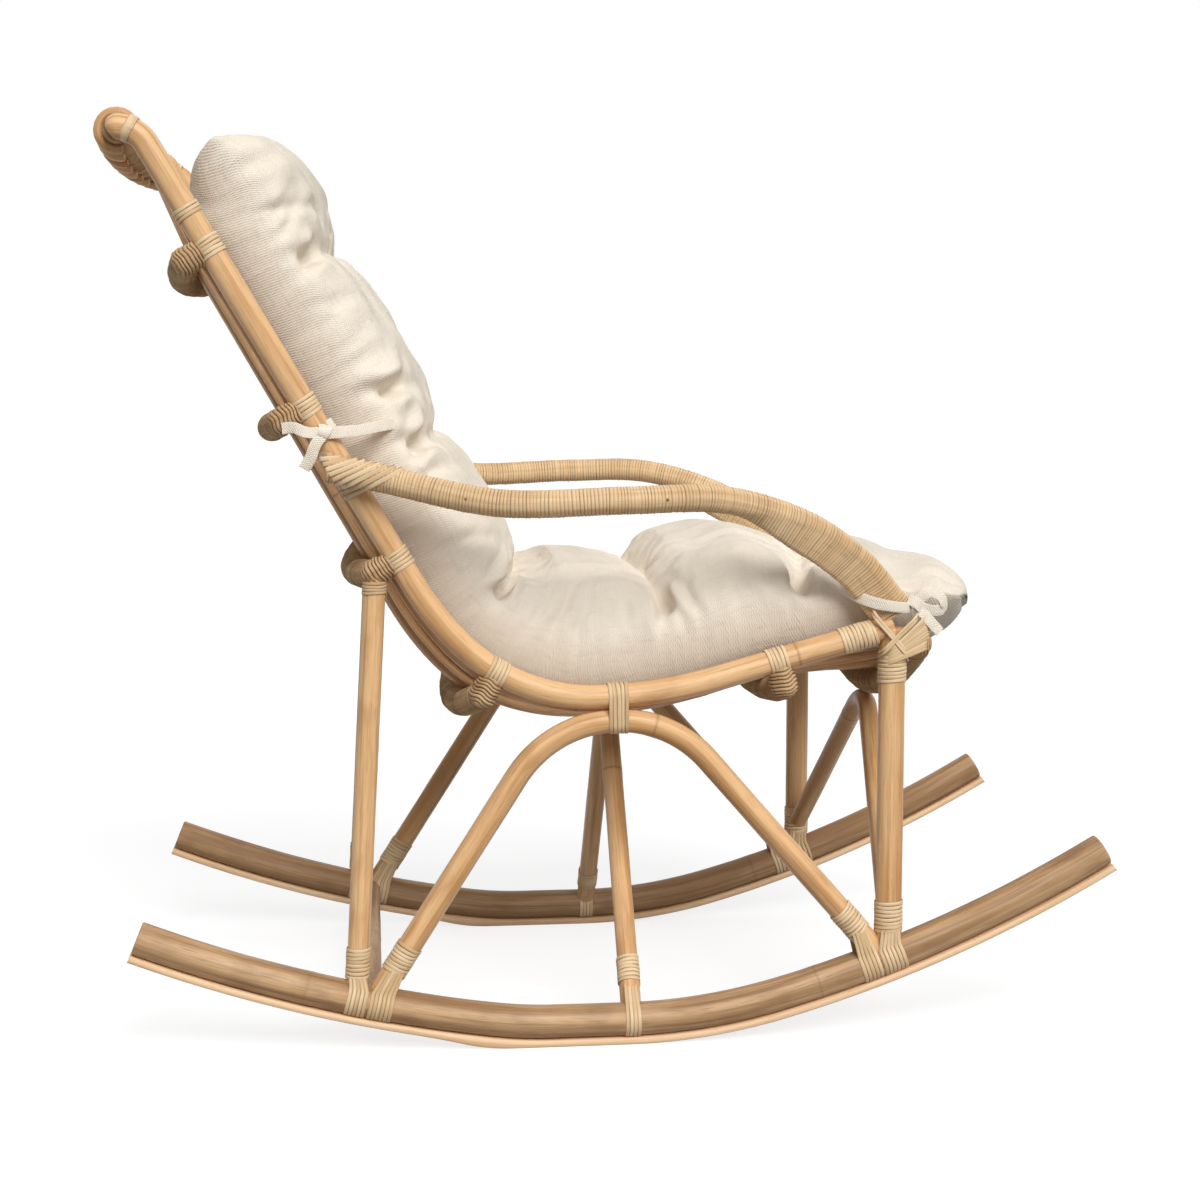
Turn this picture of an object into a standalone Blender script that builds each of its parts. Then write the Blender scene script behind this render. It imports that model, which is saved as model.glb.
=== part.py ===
"""Rattan rocking chair: bent poles lashed with cane, on two rockers, with a tufted cushion.

Metres, +Z up, the chair faces +X and the sitter's left is +Y. The floor is z = 0.
The side profile is drawn from the lowest point of the rockers, and the finished chair is
then moved along X so that the middle of its outline stands over the origin.
"""

import math

import bmesh
import bpy
from mathutils import Matrix, Vector

# Poles, as diameters
ROCKER_DIAMETER = 0.036
SIDE_POLE_DIAMETER = 0.027
ARCH_DIAMETER = 0.026
CROSS_ARCH_DIAMETER = 0.023
REAR_POST_DIAMETER = 0.024
FRONT_POST_DIAMETER = 0.029
STRETCHER_DIAMETER = 0.025
RAIL_DIAMETER = 0.029
SLAT_DIAMETER = 0.010
ARM_DIAMETER = 0.029
SPLICE_DIAMETER = 0.017
CLEARANCE = 0.0003

# Rockers, and the flat soles nailed under them
TRACK = 0.506
REST_FLAT = 0.08
ROCKER_FRONT_RADIUS = 0.675
ROCKER_FRONT_SWEEP = math.radians(15.4)
ROCKER_REAR_RADIUS = 0.48
ROCKER_REAR_SWEEP = math.radians(8.0)
FRONT_TIP_RADIUS = 1.53
FRONT_TIP_LENGTH = 0.40
REAR_TIP_RADIUS = 1.64
REAR_TIP_LENGTH = 0.40
SOLE_WIDTH = 0.024
SOLE_THICKNESS = 0.007
SOLE_GAP = 0.0006
SOLE_FACET = 0.055
SOLE_PLANED = 0.112

# Side poles: seat and back in one bent pole
SEAT_LOW_X = 0.005
SEAT_LOW_HEIGHT = 0.382
SEAT_RADIUS = 0.50
SEAT_RISE = math.radians(15.5)
HIP_RADIUS = 0.20
HIP_SWEEP = math.radians(45.0)
WAIST_RADIUS = 0.33
BACK_SLOPE = math.radians(59.6)
BACK_STRAIGHT = 0.525
TOP_BEND_RADIUS = 0.035

# Cross rails: place along the side pole from its lowest point, and bow at mid width
UPPER_BACK_RAIL = -0.646
UPPER_BACK_BOW = 0.022
MIDDLE_BACK_RAIL = -0.456
MIDDLE_BACK_BOW = 0.025
LOWER_BACK_RAIL = -0.270
LOWER_BACK_BOW = 0.028
REAR_SEAT_RAIL = -0.109
REAR_SEAT_BOW = 0.044
MIDDLE_SEAT_RAIL = 0.204
MIDDLE_SEAT_BOW = 0.028
TOP_BOW = 0.012
FRONT_BOW = 0.075
FRONT_RAIL_HEIGHT = 0.436

# Slats
SLAT_COUNT = 9
SLAT_SIDE_MARGIN = 0.008
SLAT_STEP = 0.05
SLAT_WRAP_STEP = math.radians(40.0)
SLAT_TOP_WRAPS = 5
SLAT_FRONT_WRAPS = 3

# Arches, posts and stretcher
ARCH_APEX_X = 0.031
ARCH_RADIUS = 0.13
ARCH_REAR_SLOPE = math.radians(57.5)
ARCH_FRONT_SLOPE = math.radians(49.0)
MIDDLE_ARCH_X = 0.047
MIDDLE_ARCH_RADIUS = 0.04
FRONT_ARCH_RADIUS = 0.05
FRONT_ARCH_FOOT_RISE = 0.02
REAR_POST_FOOT_X = -0.252
FRONT_POST_X = 0.3316
STRETCHER_X = -0.237

# Arms: places along and up, and the bow outward
ARM_REAR_PLACE = -0.379
ARM_REAR_REACH = 0.018
ARM_LINE = ((-0.215, 0.618), (-0.10, 0.5946), (0.03, 0.5972), (0.133, 0.5965),
            (0.225, 0.5695), (0.29, 0.5275), (0.325, 0.485))
ARM_BOW = 0.06
ARM_END_HEIGHT = 0.4525
ARM_END_STRAIGHT = 0.004
ARM_STEP = 0.045
SPLICE_START_X = 0.16

# Lashings of flat cane
CANE_WIDTH = 0.0046
CANE_THICKNESS = 0.0012
CANE_GAP = 0.0005
CANE_SIDES = 10
FOOT_LOOPS = 6
POST_TOP_LOOPS = 6
APEX_LOOPS = 3
ARM_STRAP_LOOPS = 5
FOOT_START = 0.004
ARCH_FOOT_START = 0.024
POST_TOP_DROP = 0.003
NEAR_POLES = 0.1

# Cushion and its ties
CUSHION_INSET = 0.017
CUSHION_TOP_PLACE = -0.748
CUSHION_OVERHANG = 0.058
CUSHION_DROOP_RADIUS = 0.12
BED_SPAN = 0.05
CUSHION_BACK_CROWN = 0.150
CUSHION_SEAT_CROWN = 0.178
CUSHION_FRONT_CROWN = 0.138
CUSHION_CROWN_CHANGE = -0.12
CUSHION_FRONT_CHANGE = 0.24
CUSHION_CROWN_BLEND = 0.10
CUSHION_EDGE = 0.26
CUSHION_END_ROUND = 0.075
CUSHION_SIDE_ROUND = 0.065
CUSHION_CROWN_SHARE = 0.14
CUSHION_LIFT = 0.0010
CUSHION_ROWS = 30
CUSHION_COLUMNS = 12
TUFT_PLACES = (-0.573, -0.389, -0.18, 0.06, 0.25)
TUFT_COLUMN = 0.36
TUFT_DEPTH = 0.34
TUFT_SPREAD = 0.042
CREASE_DEPTH = 0.14
CREASE_SPREAD = 0.035
TIE_WIDTH = 0.011
TIE_THICKNESS = 0.0014
TIE_LOOPS = 1
BACK_TIE_PLACE = -0.425
FRONT_TIE_RISE = 0.012

# Facets of the round poles
POLE_DETAIL = 2
SLAT_DETAIL = 1
BEND_STEP = math.radians(11.0)

# Distances that follow from the sizes above
HALF_TRACK = TRACK / 2
CUSHION_HALF_WIDTH = HALF_TRACK - CUSHION_INSET
ROCKER_LIFT = SOLE_THICKNESS + SOLE_GAP + ROCKER_DIAMETER / 2
RAIL_SETBACK = (SIDE_POLE_DIAMETER + RAIL_DIAMETER) / 2 + CLEARANCE
SLAT_FLAT = SLAT_DIAMETER / 2 * math.cos(math.pi / 6)
RAIL_END = HALF_TRACK + SIDE_POLE_DIAMETER / 2
FRONT_RAIL_X = FRONT_POST_X + (FRONT_POST_DIAMETER + RAIL_DIAMETER) / 2 + CLEARANCE
SLAT_REACH = HALF_TRACK - SIDE_POLE_DIAMETER / 2 - SLAT_DIAMETER / 2 - SLAT_SIDE_MARGIN
CANE_PITCH = CANE_WIDTH + CANE_GAP
SIDES = (("right", -1.0), ("left", 1.0))


def turn_point(x, z, heading, radius, sweep):
    """Where an arc that turns left by sweep ends, and its heading there."""
    end = heading + sweep
    side = math.copysign(1.0, sweep) * radius
    return x + side * (math.sin(end) - math.sin(heading)), z + side * (math.cos(heading) - math.cos(end)), end


def run_point(runs, x, z, heading, distance):
    """Point and heading at a distance along straight runs (length, 0) and arcs (radius, sweep)."""
    for size, sweep in runs:
        length = size * abs(sweep) if sweep else size
        last = (size, sweep) == runs[-1]
        part = distance if last else min(distance, length)
        if sweep:
            x, z, heading = turn_point(x, z, heading, size, math.copysign(part / size, sweep))
        else:
            x, z = x + part * math.cos(heading), z + part * math.sin(heading)
        distance -= part
        if distance <= 0:
            break
    return x, z, heading


SEAT_RUNS = ((SEAT_RADIUS, SEAT_RISE), (1.0, 0))
BACK_RUNS = ((HIP_RADIUS, -HIP_SWEEP), (WAIST_RADIUS, HIP_SWEEP - BACK_SLOPE), (BACK_STRAIGHT, 0))
BACK_BEND_START = HIP_RADIUS * HIP_SWEEP + WAIST_RADIUS * (BACK_SLOPE - HIP_SWEEP)
BACK_LENGTH = BACK_BEND_START + BACK_STRAIGHT


def side_point(place):
    """Side pole's centreline: x, z and its forward heading at a place from its lowest point."""
    if place >= 0:
        return run_point(SEAT_RUNS, SEAT_LOW_X, SEAT_LOW_HEIGHT, 0.0, place)
    x, z, heading = run_point(BACK_RUNS, SEAT_LOW_X, SEAT_LOW_HEIGHT, math.pi, -place)
    return x, z, heading - math.pi


def side_place_at_x(x):
    """Place on the seat part of the side pole that lies at x."""
    bend_x, _, heading = turn_point(SEAT_LOW_X, SEAT_LOW_HEIGHT, 0.0, SEAT_RADIUS, SEAT_RISE)
    if x >= bend_x:
        return SEAT_RADIUS * SEAT_RISE + (x - bend_x) / math.cos(heading)
    return SEAT_RADIUS * math.asin((x - SEAT_LOW_X) / SEAT_RADIUS)


def set_back(place, depth):
    """Point at a depth behind or below the side pole's centreline."""
    x, z, heading = side_point(place)
    return Vector((x + depth * math.sin(heading), z - depth * math.cos(heading)))


def top_rail_point():
    """Centre of the top rail's ends, where the side poles' top bends end."""
    x, z, heading = side_point(-BACK_LENGTH)
    x, z, _ = turn_point(x, z, heading + math.pi, TOP_BEND_RADIUS, -heading)
    return Vector((x, z))


FRONT_PLACE = side_place_at_x(FRONT_RAIL_X)
BACK_NORMAL = Vector((-math.sin(BACK_SLOPE), -math.cos(BACK_SLOPE)))
DOWN = Vector((0.0, -1.0))

# Each lashed rail: its name, place along the side pole and bow
LASHED_RAILS = (
    ("upper_back_rail", UPPER_BACK_RAIL, UPPER_BACK_BOW),
    ("middle_back_rail", MIDDLE_BACK_RAIL, MIDDLE_BACK_BOW),
    ("lower_back_rail", LOWER_BACK_RAIL, LOWER_BACK_BOW),
    ("rear_seat_rail", REAR_SEAT_RAIL, REAR_SEAT_BOW),
    ("middle_seat_rail", MIDDLE_SEAT_RAIL, MIDDLE_SEAT_BOW),
)


def bow_share(y):
    """Share of a rail's bow at y: none at the side poles, all at mid width."""
    return max(0.0, 1.0 - (y / HALF_TRACK) ** 2)


def top_rail_centre(y):
    return top_rail_point() + TOP_BOW * bow_share(y) * BACK_NORMAL


def front_rail_centre(y):
    return Vector((FRONT_RAIL_X, FRONT_RAIL_HEIGHT)) + FRONT_BOW * bow_share(y) * DOWN


def depth_behind_pole(place, point):
    """How far a point lies behind the side pole's line at a place."""
    x, z, heading = side_point(place)
    return (point.x - x) * math.sin(heading) - (point.y - z) * math.cos(heading)


def slat_setback(bow, y):
    """Distance from a rail's centre to a slat's that lies across it, where the bow slopes."""
    slope = math.atan(2 * bow * abs(y) / HALF_TRACK ** 2)
    reach = SLAT_DIAMETER / 2 * math.cos(math.pi / 6 - slope)
    return (RAIL_DIAMETER / 2 + CLEARANCE + reach) / math.cos(slope)


def slat_depth(place, y):
    """Depth of the slats' centres behind the side pole, straight from rail to rail."""
    top = depth_behind_pole(-BACK_LENGTH, top_rail_centre(y))
    front = depth_behind_pole(FRONT_PLACE, front_rail_centre(y))
    knots = [(-BACK_LENGTH, top - slat_setback(TOP_BOW, y))]
    knots += [(at, RAIL_SETBACK + bow * bow_share(y) - slat_setback(bow, y)) for _, at, bow in LASHED_RAILS]
    knots += [(FRONT_PLACE, front - slat_setback(FRONT_BOW, y))]
    for (low, depth_low), (high, depth_high) in zip(knots, knots[1:]):
        if place <= high:
            return depth_low + (depth_high - depth_low) * (place - low) / (high - low)
    return knots[-1][1]


def wrap_points(entry, centre, turn, count, setback):
    """Corners of a slat's wrap round a rail, from the line that comes in from entry."""
    to_entry = entry - centre
    start = math.atan2(to_entry.y, to_entry.x) + turn * math.acos(setback / to_entry.length)
    radius = setback / math.cos(SLAT_WRAP_STEP / 2)
    angles = [start + turn * SLAT_WRAP_STEP * (step + 0.5) for step in range(count)]
    return [centre + radius * Vector((math.cos(angle), math.sin(angle))) for angle in angles]


def slat_path(y):
    """A slat from its wrap over the top rail, down the back and seat, to the front rail."""
    places = []
    rail_places = [place for _, place, _ in LASHED_RAILS]
    for low, high in zip(rail_places, rail_places[1:]):
        curved = high > -BACK_BEND_START
        steps = math.ceil((high - low) / SLAT_STEP) if curved else 1
        places += [low + (high - low) * step / steps for step in range(steps)]
    places.append(rail_places[-1])
    middle = [set_back(place, slat_depth(place, y)) for place in places]
    top = wrap_points(middle[0], top_rail_centre(y), 1.0, SLAT_TOP_WRAPS, slat_setback(TOP_BOW, y))
    front = wrap_points(middle[-1], front_rail_centre(y), -1.0, SLAT_FRONT_WRAPS, slat_setback(FRONT_BOW, y))
    return [Vector((p.x, y, p.y)) for p in top[::-1] + middle + front]


def rocker_points(lift):
    """Points at a lift above the soles' undersides, one at each facet's corner."""
    ends = []
    for direction, radius, sweep, tip_radius, tip_length in (
            (-1.0, ROCKER_REAR_RADIUS, ROCKER_REAR_SWEEP, REAR_TIP_RADIUS, REAR_TIP_LENGTH),
            (1.0, ROCKER_FRONT_RADIUS, ROCKER_FRONT_SWEEP, FRONT_TIP_RADIUS, FRONT_TIP_LENGTH)):
        runs = ((REST_FLAT / 2, 0), (radius, sweep), (tip_radius, tip_length / tip_radius))
        places = [REST_FLAT / 2]
        for length in (radius * sweep, tip_length):
            steps = max(1, round(length / SOLE_FACET))
            start = places[-1]
            places += [start + length * (step + 1) / steps for step in range(steps)]
        side = []
        for place in places:
            x, z, heading = run_point(runs, 0.0, 0.0, 0.0, place)
            side.append(Vector((direction * (x - lift * math.sin(heading)), z + lift * math.cos(heading))))
        ends.append(side)
    return ends[0][::-1] + ends[1]


def rocker_height(x):
    """Height of the rocker's centreline at x."""
    points = rocker_points(ROCKER_LIFT)
    for a, b in zip(points, points[1:]):
        if x <= b.x:
            return a.y + (b.y - a.y) * (x - a.x) / (b.x - a.x)
    return points[-1].y


def smooth_path(corners, step):
    """Points about a step apart on a smooth curve through the corners."""
    points = []
    ends = [2 * corners[0] - corners[1]] + list(corners) + [2 * corners[-1] - corners[-2]]
    for a, b, c, d in zip(ends, ends[1:], ends[2:], ends[3:]):
        count = max(1, round((c - b).length / step))
        for index in range(count):
            t = index / count
            pull = (b - a) + (c - b)
            push = (c - b) + (d - c)
            m0, m1 = pull / 2, push / 2
            points.append((2 * t ** 3 - 3 * t ** 2 + 1) * b + (t ** 3 - 2 * t ** 2 + t) * m0
                          + (3 * t ** 2 - 2 * t ** 3) * c + (t ** 3 - t ** 2) * m1)
    points.append(corners[-1])
    return points


def make_material(name, colour, roughness):
    """A Principled material of one colour."""
    material = bpy.data.materials.new(name)
    material.use_nodes = True
    shader = material.node_tree.nodes["Principled BSDF"]
    shader.inputs["Base Color"].default_value = (*colour, 1.0)
    shader.inputs["Roughness"].default_value = roughness
    shader.inputs["Metallic"].default_value = 0.0
    return material


def place_object(obj, material=None, helper=False):
    """Puts an object in the chair's collection, or a helper with the cutters."""
    COLLECTIONS["helpers" if helper else "parts"].objects.link(obj)
    obj.parent = ROOT
    if helper:
        obj.hide_render = True
        obj.display_type = "WIRE"
    else:
        obj.data.materials.append(material)
    return obj


def tube(name, points, diameter, material, detail=POLE_DETAIL, tilt=0.0, helper=False):
    """A round pole along points."""
    curve = bpy.data.curves.new(name, "CURVE")
    curve.dimensions = "3D"
    curve.twist_mode = "Z_UP"
    curve.bevel_depth = diameter / 2
    curve.bevel_resolution = detail
    curve.use_fill_caps = True
    spline = curve.splines.new("POLY")
    spline.points.add(len(points) - 1)
    for knot, point in zip(spline.points, points):
        knot.co = (*point, 1.0)
        knot.tilt = tilt
    return place_object(bpy.data.objects.new(name, curve), material, helper)


def solid_tube(name, points, diameter, material=None, detail=POLE_DETAIL, tilt=0.0, helper=False):
    """A round pole as a closed mesh, which can be cut or can cut."""
    source = tube(name + "_line", points, diameter, None, detail, tilt, helper=True)
    bpy.context.view_layer.update()
    evaluated = source.evaluated_get(bpy.context.evaluated_depsgraph_get())
    mesh = bpy.data.meshes.new_from_object(evaluated)
    mesh.name = name
    bpy.data.objects.remove(source)
    shape = bmesh.new()
    shape.from_mesh(mesh)
    bmesh.ops.remove_doubles(shape, verts=shape.verts, dist=1e-6)
    bmesh.ops.recalc_face_normals(shape, faces=shape.faces)
    shape.to_mesh(mesh)
    shape.free()
    mesh.materials.clear()
    return place_object(bpy.data.objects.new(name, mesh), material, helper)


def cutter(name, points, diameter, detail=POLE_DETAIL, tilt=0.0, margin=CLEARANCE):
    """A pole's own outline with a clearance round it, for seating its neighbours."""
    return solid_tube(name + "_seat", points, diameter + 2 * margin, None, detail, tilt, helper=True)


def wound_margin(diameter):
    """Margin round a pole that leaves room for a lashing's corners and a clearance."""
    corner = (diameter / 2 + CLEARANCE + CANE_THICKNESS) / math.cos(math.pi / CANE_SIDES)
    return (corner + CLEARANCE) / math.cos(math.pi / (2 * POLE_DETAIL + 4)) - diameter / 2


def seat(obj, cutters):
    """Cuts a pole's ends to sit against its neighbours."""
    for tool in cutters:
        cut = obj.modifiers.new("seat on " + tool.name, "BOOLEAN")
        cut.operation = "DIFFERENCE"
        cut.solver = "EXACT"
        cut.object = tool
    return obj


def support(rounds, angle):
    """How far rounds reach in a direction, each given by its centre, radius and lean."""
    way = Vector((math.cos(angle), math.sin(angle)))
    return max(way.dot(centre) + radius * math.hypot(1.0, way.dot(lean)) for centre, radius, lean in rounds)


def loop_corners(rounds, margin):
    """Corners of the taut loop round poles, standing off by a margin."""
    step = 2 * math.pi / CANE_SIDES
    corners = []
    for index in range(CANE_SIDES):
        first, second = step * index, step * (index + 1)
        reach_a = support(rounds, first) + margin
        reach_b = support(rounds, second) + margin
        determinant = math.sin(step)
        corners.append(Vector(((reach_a * math.sin(second) - reach_b * math.sin(first)) / determinant,
                               (reach_b * math.cos(first) - reach_a * math.cos(second)) / determinant)))
    return corners


def segment_gap(a, b, c, d):
    """Least distance between two straight stretches, on points along both."""
    shares = [index / 4 for index in range(5)]
    return min((a.lerp(b, s) - c.lerp(d, t)).length for s in shares for t in shares)


def strip_profile(width, thickness):
    """Flat section of a strip, as a closed outline."""
    name = f"strip_{width * 1e6:.0f}_{thickness * 1e6:.0f}"
    if name in bpy.data.objects:
        return bpy.data.objects[name]
    outline = bpy.data.curves.new(name, "CURVE")
    outline.dimensions = "2D"
    spline = outline.splines.new("POLY")
    spline.points.add(3)
    for knot, (x, y) in zip(spline.points, ((-1, -1), (-1, 1), (1, 1), (1, -1))):
        knot.co = (x * thickness / 2, y * width / 2, 0.0, 1.0)
    spline.use_cyclic_u = True
    return place_object(bpy.data.objects.new(name, outline), helper=True)


def winding(name, rounds, loops, frame, material, width=CANE_WIDTH, thickness=CANE_THICKNESS, gap=CANE_GAP):
    """A strip wound round poles, climbing along the frame's Z from its origin."""
    corners = loop_corners(rounds, CLEARANCE + thickness / 2)
    pitch = width + gap
    count = CANE_SIDES * loops + 1
    points = [Vector((*corners[index % CANE_SIDES], width / 2 + pitch * index / CANE_SIDES))
              for index in range(count)]
    stretches = list(zip(points, points[1:]))
    turns_apart = [segment_gap(*stretches[i], *stretches[i + CANE_SIDES])
                   for i in range(len(stretches) - CANE_SIDES)]
    if turns_apart:
        print(f"{name}: least gap between turns {(min(turns_apart) - width) * 1000:.2f} mm")
    curve = bpy.data.curves.new(name, "CURVE")
    curve.dimensions = "3D"
    curve.twist_mode = "Z_UP"
    curve.bevel_mode = "OBJECT"
    curve.bevel_object = strip_profile(width, thickness)
    curve.use_fill_caps = True
    spline = curve.splines.new("POLY")
    spline.points.add(count - 1)
    for knot, point in zip(spline.points, points):
        knot.co = (*point, 1.0)
    obj = place_object(bpy.data.objects.new(name, curve), material)
    obj.matrix_local = frame
    return obj


def axis_frame(origin, axis, sideways):
    """Frame whose Z runs along an axis and whose X points sideways."""
    z = axis.normalized()
    y = z.cross(sideways).normalized()
    x = y.cross(z)
    frame = Matrix((x, y, z)).transposed().to_4x4()
    frame.translation = origin
    return frame


def pole_round(diameter, x=0.0, y=0.0):
    """A pole's section where it runs straight along a winding's axis."""
    return Vector((x, y)), diameter / 2, Vector((0.0, 0.0))


def sections(frame, length, poles):
    """Sections of poles (line, diameter) where they pass the two ends of a winding."""
    inverse = frame.inverted()
    rounds = []
    for line, diameter in poles:
        local = [inverse @ point for point in line]
        for level in (0.0, length):
            for a, b in zip(local, local[1:]):
                if min(a.z, b.z) <= level <= max(a.z, b.z):
                    centre = a.lerp(b, (level - a.z) / (b.z - a.z)).xy
                    lean = (b - a).xy / (b - a).z
                    if centre.length < NEAR_POLES:
                        rounds.append((centre, diameter / 2, lean))
    return rounds


def clear_scene():
    for obj in list(bpy.data.objects):
        bpy.data.objects.remove(obj)


def make_collections():
    scene = bpy.context.scene
    found = {}
    for key, name in (("parts", "rattan_rocking_chair"), ("helpers", "cutters")):
        found[key] = bpy.data.collections.new(name)
        scene.collection.children.link(found[key])
    return found


def make_root():
    root = bpy.data.objects.new("rattan_rocking_chair_origin", None)
    COLLECTIONS["helpers"].objects.link(root)
    return root


def in_side_plane(points, y):
    return [Vector((p.x, y, p.y)) for p in points]


def side_pole_line(y):
    """Side pole from the top rail, down the back and along the seat, to the front post."""
    end_place = side_place_at_x(FRONT_POST_X)
    places = [-BACK_LENGTH]
    bend_ends = (-BACK_BEND_START, -HIP_RADIUS * HIP_SWEEP, 0.0, SEAT_RADIUS * SEAT_RISE)
    bend_sweeps = (0.0, BACK_SLOPE - HIP_SWEEP, HIP_SWEEP, SEAT_RISE)
    for start, end, sweep in zip((-BACK_LENGTH,) + bend_ends, bend_ends, bend_sweeps):
        steps = max(1, math.ceil(sweep / BEND_STEP))
        places += [start + (end - start) * (step + 1) / steps for step in range(steps)]
    places.append(end_place)
    rails = [place for _, place, _ in LASHED_RAILS]
    clear = [place for place in places if min(abs(place - rail) for rail in rails) > SIDE_POLE_DIAMETER / 2]
    points = [Vector(side_point(place)[:2]) for place in sorted(clear + rails)]
    x, z, heading = side_point(-BACK_LENGTH)
    steps = max(2, math.ceil(BACK_SLOPE / (2 * BEND_STEP)))
    top = []
    for step in range(steps):
        sweep = -heading * (steps - step) / steps
        top.append(Vector(turn_point(x, z, heading + math.pi, TOP_BEND_RADIUS, sweep)[:2]))
    return in_side_plane(top + points, y)


def slat_ys():
    """Where the slats lie across the chair."""
    return [-SLAT_REACH + 2 * SLAT_REACH * index / (SLAT_COUNT - 1) for index in range(SLAT_COUNT)]


def rail_line(centre_at):
    """A bowed rail across the chair, straight where it lies behind the side poles."""
    ys = [-RAIL_END, -HALF_TRACK] + slat_ys() + [HALF_TRACK, RAIL_END]
    return [Vector((centre_at(y).x, y, centre_at(y).y)) for y in ys]


def lashed_rail_centre(place, bow):
    x, z, heading = side_point(place)
    normal = Vector((math.sin(heading), -math.cos(heading)))
    return lambda y: Vector((x, z)) + (RAIL_SETBACK + bow * bow_share(y)) * normal


def arch_apex_height():
    """Height of the side arch's centre where it meets the underside of the side pole."""
    z = height_on(side_pole_line(0.0), ARCH_APEX_X)
    return z - (SIDE_POLE_DIAMETER + ARCH_DIAMETER) / 2 - CLEARANCE


def side_arch_line(y):
    """Side arch: its top turns under the side pole and its legs run into the rocker."""
    top = arch_apex_height()
    halves = []
    for direction, slope in ((-1.0, ARCH_REAR_SLOPE), (1.0, ARCH_FRONT_SLOPE)):
        steps = max(2, math.ceil(slope / (1.5 * BEND_STEP)))
        half = [Vector((ARCH_APEX_X, top))]
        for step in range(steps):
            x, drop, _ = turn_point(0.0, 0.0, 0.0, ARCH_RADIUS, slope * (step + 1) / steps)
            half.append(Vector((ARCH_APEX_X + direction * x, top - drop)))
        half.append(leg_foot(half[-1], direction, slope))
        halves.append(half)
    return in_side_plane(halves[0][::-1] + halves[1][1:], y)


def leg_foot(start, direction, slope):
    """Where a leg that slopes down from start meets the rocker's centreline."""
    low, high = 0.0, start.y / math.sin(slope)
    for _ in range(40):
        middle = (low + high) / 2
        x = start.x + direction * middle * math.cos(slope)
        if start.y - middle * math.sin(slope) > rocker_height(x):
            low = middle
        else:
            high = middle
    return Vector((start.x + direction * low * math.cos(slope), start.y - low * math.sin(slope)))


def height_on(points, x):
    """Height at x of the last stretch of a line that passes over x."""
    heights = [a.z + (b.z - a.z) * (x - a.x) / (b.x - a.x)
               for a, b in zip(points, points[1:]) if a.x <= x < b.x]
    return heights[-1]


def cross_arch_line(foot_x, foot_z, apex_x, apex_z, radius):
    """An arch across the chair, from foot to foot, with a rounded top."""
    run = HALF_TRACK
    rise = apex_z - foot_z
    slope = math.atan2(rise, run)
    for _ in range(30):
        slope = math.atan2(rise - radius * (1 - math.cos(slope)), run - radius * math.sin(slope))
    steps = max(2, math.ceil(slope / (1.5 * BEND_STEP)))
    half = []
    for step in range(steps + 1):
        y, drop, _ = turn_point(0.0, 0.0, 0.0, radius, slope * step / steps)
        lean = (foot_x - apex_x) * drop / rise
        half.append((apex_x + lean, y, apex_z - drop))
    half.append((foot_x, run, foot_z))
    near = [Vector((x, -y, z)) for x, y, z in half]
    far = [Vector(point) for point in half]
    return near[::-1] + far[1:]


def arm_spread(x, rear_x):
    """How far an arm's centre lies outside the side pole's plane at x."""
    lap = (SIDE_POLE_DIAMETER + ARM_DIAMETER) / 2 + CLEARANCE
    share = min(1.0, max(0.0, (x - rear_x) / (FRONT_POST_X - rear_x)))
    return lap * (1 - share) + ARM_BOW * math.sin(math.pi * share) ** 1.5


def arm_line(sign):
    """An arm from its lap on the side pole, forward and down onto the front post."""
    lap_x, lap_z, _ = side_point(ARM_REAR_PLACE)
    lap = Vector((lap_x, lap_z))
    first = Vector(ARM_LINE[0])
    tail = lap + (lap - first).normalized() * ARM_REAR_REACH
    pole_top = side_point(side_place_at_x(FRONT_POST_X))[1] + SIDE_POLE_DIAMETER / 2
    corners = [tail, lap] + [Vector(point) for point in ARM_LINE]
    corners += [Vector((FRONT_POST_X, max(ARM_END_HEIGHT, pole_top) + ARM_END_STRAIGHT))]
    flat = smooth_path(corners, ARM_STEP) + [Vector((FRONT_POST_X, ARM_END_HEIGHT))]
    return [Vector((p.x, sign * (HALF_TRACK + arm_spread(p.x, lap_x)), p.y)) for p in flat]


def splice_line(sign):
    """The second pole under the arm's front bend, down to the side pole's end."""
    arm = arm_line(sign)
    offset = (ARM_DIAMETER + SPLICE_DIAMETER) / 2 + CLEARANCE
    foot_x = FRONT_POST_X - offset
    foot_z = side_point(side_place_at_x(foot_x))[1]
    points = []
    for before, here, after in zip(arm, arm[1:], arm[2:]):
        run = (after - before).normalized()
        point = here + Vector((run.z, 0.0, -run.x)).normalized() * offset
        far_enough = not points or (point - points[-1]).length > SPLICE_DIAMETER
        if here.x >= SPLICE_START_X and far_enough and point.z > foot_z + SPLICE_DIAMETER:
            points.append(point)
    return points + [Vector((foot_x, sign * HALF_TRACK, foot_z))]


def sole_underside():
    """Corners of a sole's underside, planed level behind the lowest point so that the chair stands."""
    corners = rocker_points(0.0)
    behind = [corner for corner in corners if corner.x < -SOLE_PLANED]
    ahead = [corner for corner in corners if corner.x > 0]
    return behind + [Vector((-SOLE_PLANED, 0.0))] + ahead


def sole(name, y, material):
    """A flat sole strip under a rocker."""
    low = sole_underside()
    high = rocker_points(SOLE_THICKNESS)
    outline = bpy.data.curves.new(name, "CURVE")
    outline.dimensions = "2D"
    outline.fill_mode = "BOTH"
    outline.extrude = SOLE_WIDTH / 2
    ring = low + high[::-1]
    spline = outline.splines.new("POLY")
    spline.points.add(len(ring) - 1)
    for knot, point in zip(spline.points, ring):
        knot.co = (point.x, point.y, 0.0, 1.0)
    spline.use_cyclic_u = True
    obj = place_object(bpy.data.objects.new(name, outline), material)
    obj.rotation_euler = (math.pi / 2, 0.0, 0.0)
    obj.location = (0.0, y, 0.0)
    return obj


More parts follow.
